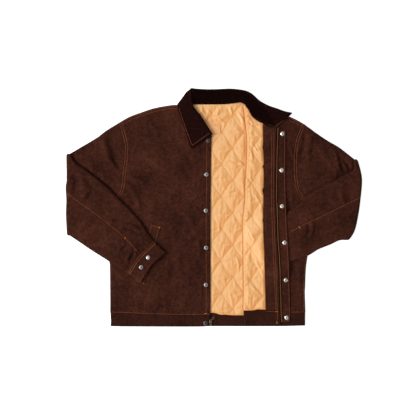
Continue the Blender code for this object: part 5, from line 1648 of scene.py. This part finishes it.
cuff_line = spline(SLEEVE_R["seam"])
label_corners = [(LABEL_X + LABEL_WIDE * i, LABEL_Y + LABEL_TALL * j) for i, j in ((0, 0), (1, 0), (1, 1), (0, 1))]
sewn = {
    "body_right": sew("topstitch_front_right", on(
        "shell_front_right", FRONT_STITCH_R, HEM_STITCH_R, ARM_BODY_R, *SHOULDER_STITCH_R)),
    "body_left": sew("topstitch_front_left", on(
        "shell_front_left", ARM_BODY_L, HEM_STITCH_L, SIDE_STITCH_L,
        *(line[line[:, 0] > 236] for line in SHOULDER_STITCH_L))),
    "sleeve_right": sew("topstitch_sleeve_right", on(
        "shell_sleeve_right", *clear_of(ARM_SLEEVE_R, SLEEVE_R), spline(SLEEVE_SEAM_R), beside(cuff_line, 2.6))),
    "cuff_right": sew("topstitch_cuff_right", on("shell_cuff_right", beside(cuff_line, -3.2)), CUFF_THREAD),
    "sleeve_left": sew("topstitch_sleeve_left", on(
        "shell_sleeve_left", *clear_of(ARM_SLEEVE_L, SLEEVE_L), spline(SLEEVE_SEAM_L))),
    "facing": sew("topstitch_facing", on("inside_facing_left", *FACING_STITCH)),
    "placket": sew("topstitch_placket", on("shell_placket", PLACKET_STITCH, [(235, -350), (212, -352)])),
    "hem_left": sew("topstitch_hem_left", on(
        "shell_hem_left", spline([(197.5, -322), (197, -338), (196, -357)]), [(163, -320.4), (197, -321.4)])),
    "collar": sew("topstitch_collar", on(
        "corduroy_collar", spline([(-108, 309), (-101, 288), (-92, 262), (-80, 228), (-67, 194)]),
        [(-67, 193), (-13, 231)], [(193, 253), (240, 289)])),
    "welt": sew("topstitch_pocket", on("shell_pocket_welt", *box_line(WELT, 2.4))),
}
tacks = sew("bartacks", [stitch for row in (
    ("shell_sleeve_right", -274, -94, 45, 6), ("shell_sleeve_left", 265, -60, 118, 8),
    ("shell_pocket_welt", -168, -61, -12, 6, 3), ("shell_pocket_welt", -217, -236, -20, 6, 3),
    ("shell_front_right", -25, -328, 0, 7), ("shell_hem_right", -28, -363, 0, 6),
    ("shell_hem_left", 195.5, -321.2, 0, 6), ("shell_hem_left", 196, -356, 90, 6),
    ("corduroy_collar", 194, 254, 40, 5),
) for stitch in tack(*row)], BARTACK, 2.0, 1.0, 0.42, 0.34)
label_edge = sew("label_stitching", on("neck_label", *box_line(label_corners, 1.8)), LABEL_THREAD, 2.4, 0.85, 0.4, 0.3)

teeth = [build_teeth("zipper_teeth_left", teeth_left, 2.4, (2.7, 1.6, 1.5)),
         build_teeth("zipper_teeth_right", teeth_right, 2.6, (3.2, 1.5, 1.0))]

for cad in list(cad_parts):
    kind = cad.split("_")[0] if cad[-1].isdigit() else cad
    if kind == "socket":
        snap(cad, SOCKET, 2, BRASS)
    # studs: their hollow posts painted black for the shade in them
    elif kind in ("stud", "cuff_stud"):
        snap(cad, STUD, 2, HOLLOW_SHADE, SHADED_STEEL if cad in ("stud_1", "stud_6") else WORN_STEEL)  # the end ones painted darker, for the shade of the collar's leaf and of the zip's slider over them
    elif kind == "cuff_cap":
        snap(cad, CAP, 0, STEEL)
for cad in ("zip_slider", "zip_box", "zip_pull"):
    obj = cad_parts[cad]
    for slot in obj.material_slots:
        slot.material = OLD_BRASS
    bevel = obj.modifiers.new("worn_edges", "BEVEL")
    bevel.width, bevel.segments, bevel.limit_method = 0.00018, 2, "ANGLE"
    bevel.angle_limit = math.radians(40)

dress("shell_back", "back")
dress("inside_lining_back", "lining_back")
dress("shell_front_right", "front_right")
dress("shell_front_left", "front_left")
dress("inside_lining_left", "lining_left")
dress("inside_facing_left", "facing_left")
dress("shell_sleeve_right", "sleeve_right")
dress("shell_sleeve_left", "sleeve_left")
dress("shell_cuff_right", "cuff_right")
dress("shell_cuff_left", "cuff_left")
dress("shell_hem_back", "hem_band_back")
dress("shell_hem_right", "hem_band_right")
dress("shell_hem_left", "hem_band_left")
dress("shell_placket", "placket")
dress("zipper_tape_left", "zip_tape_left")
dress("zipper_tape_right", "zip_tape_right")
dress("shell_pocket_welt", "pocket_welt_right")
dress("neck_label", "label")
dress("corduroy_collar", "collar")


# ---------------------------------------------------------------- table, light and camera

MM_PER_PIXEL = 3.1  # of the photograph, at the jacket's own height
PHOTO_PIXELS = 416
VIEW_CENTRE = (-0.0175, -0.0008)
CAMERA_HIGH, MEAN_TOP = 3.5, 0.010
SENSOR = 36
TABLE_HALF, TABLE_TOP = 9, -0.0005
KEY_PLACE = (-5.0, -0.45, 4.3)

camera = placed("camera", bpy.data.cameras.new("camera"))
camera.location = (*VIEW_CENTRE, CAMERA_HIGH)
camera.data.sensor_width = SENSOR
camera.data.lens = SENSOR * (CAMERA_HIGH - MEAN_TOP) / (PHOTO_PIXELS * MM_PER_PIXEL * MM)
camera.data.clip_end = 50
bpy.context.scene.camera = camera

table_corners = [(TABLE_HALF * x, TABLE_HALF * y, TABLE_TOP) for x, y in ((-1, -1), (1, -1), (1, 1), (-1, 1))]
table = placed("table", mesh_of("table", table_corners, [[0, 1, 2, 3]]))
table.data.materials.append(blank("white_paper", Base_Color=(0.6, 0.6, 0.6, 1), Roughness=0.9, Specular_IOR_Level=0.0,
                                  Emission_Color=(1, 1, 1, 1), Emission_Strength=0.82)[0])

world = bpy.data.worlds.new("studio")
world.use_nodes = True
bpy.context.scene.world = world
sky = world.node_tree
way = node(sky, "SeparateXYZ", {0: node(sky, "TexCoord").outputs["Generated"]}).outputs["X"]
sky.nodes["Background"].inputs["Color"].default_value = (1, 1, 1, 1)
sky.links.new(ramp(sky, way, -0.75, 0.75, 1.2, 0.12), sky.nodes["Background"].inputs["Strength"])

light = bpy.data.lights.new("key", "AREA")
light.shape, light.size, light.size_y, light.energy = "RECTANGLE", 2.3, 2.3, 258
key = placed("key", light)
key.location = KEY_PLACE
key.rotation_mode = "QUATERNION"
key.rotation_quaternion = Vector(KEY_PLACE).to_track_quat("Z", "Y")

bpy.context.scene.view_settings.view_transform = "Standard"
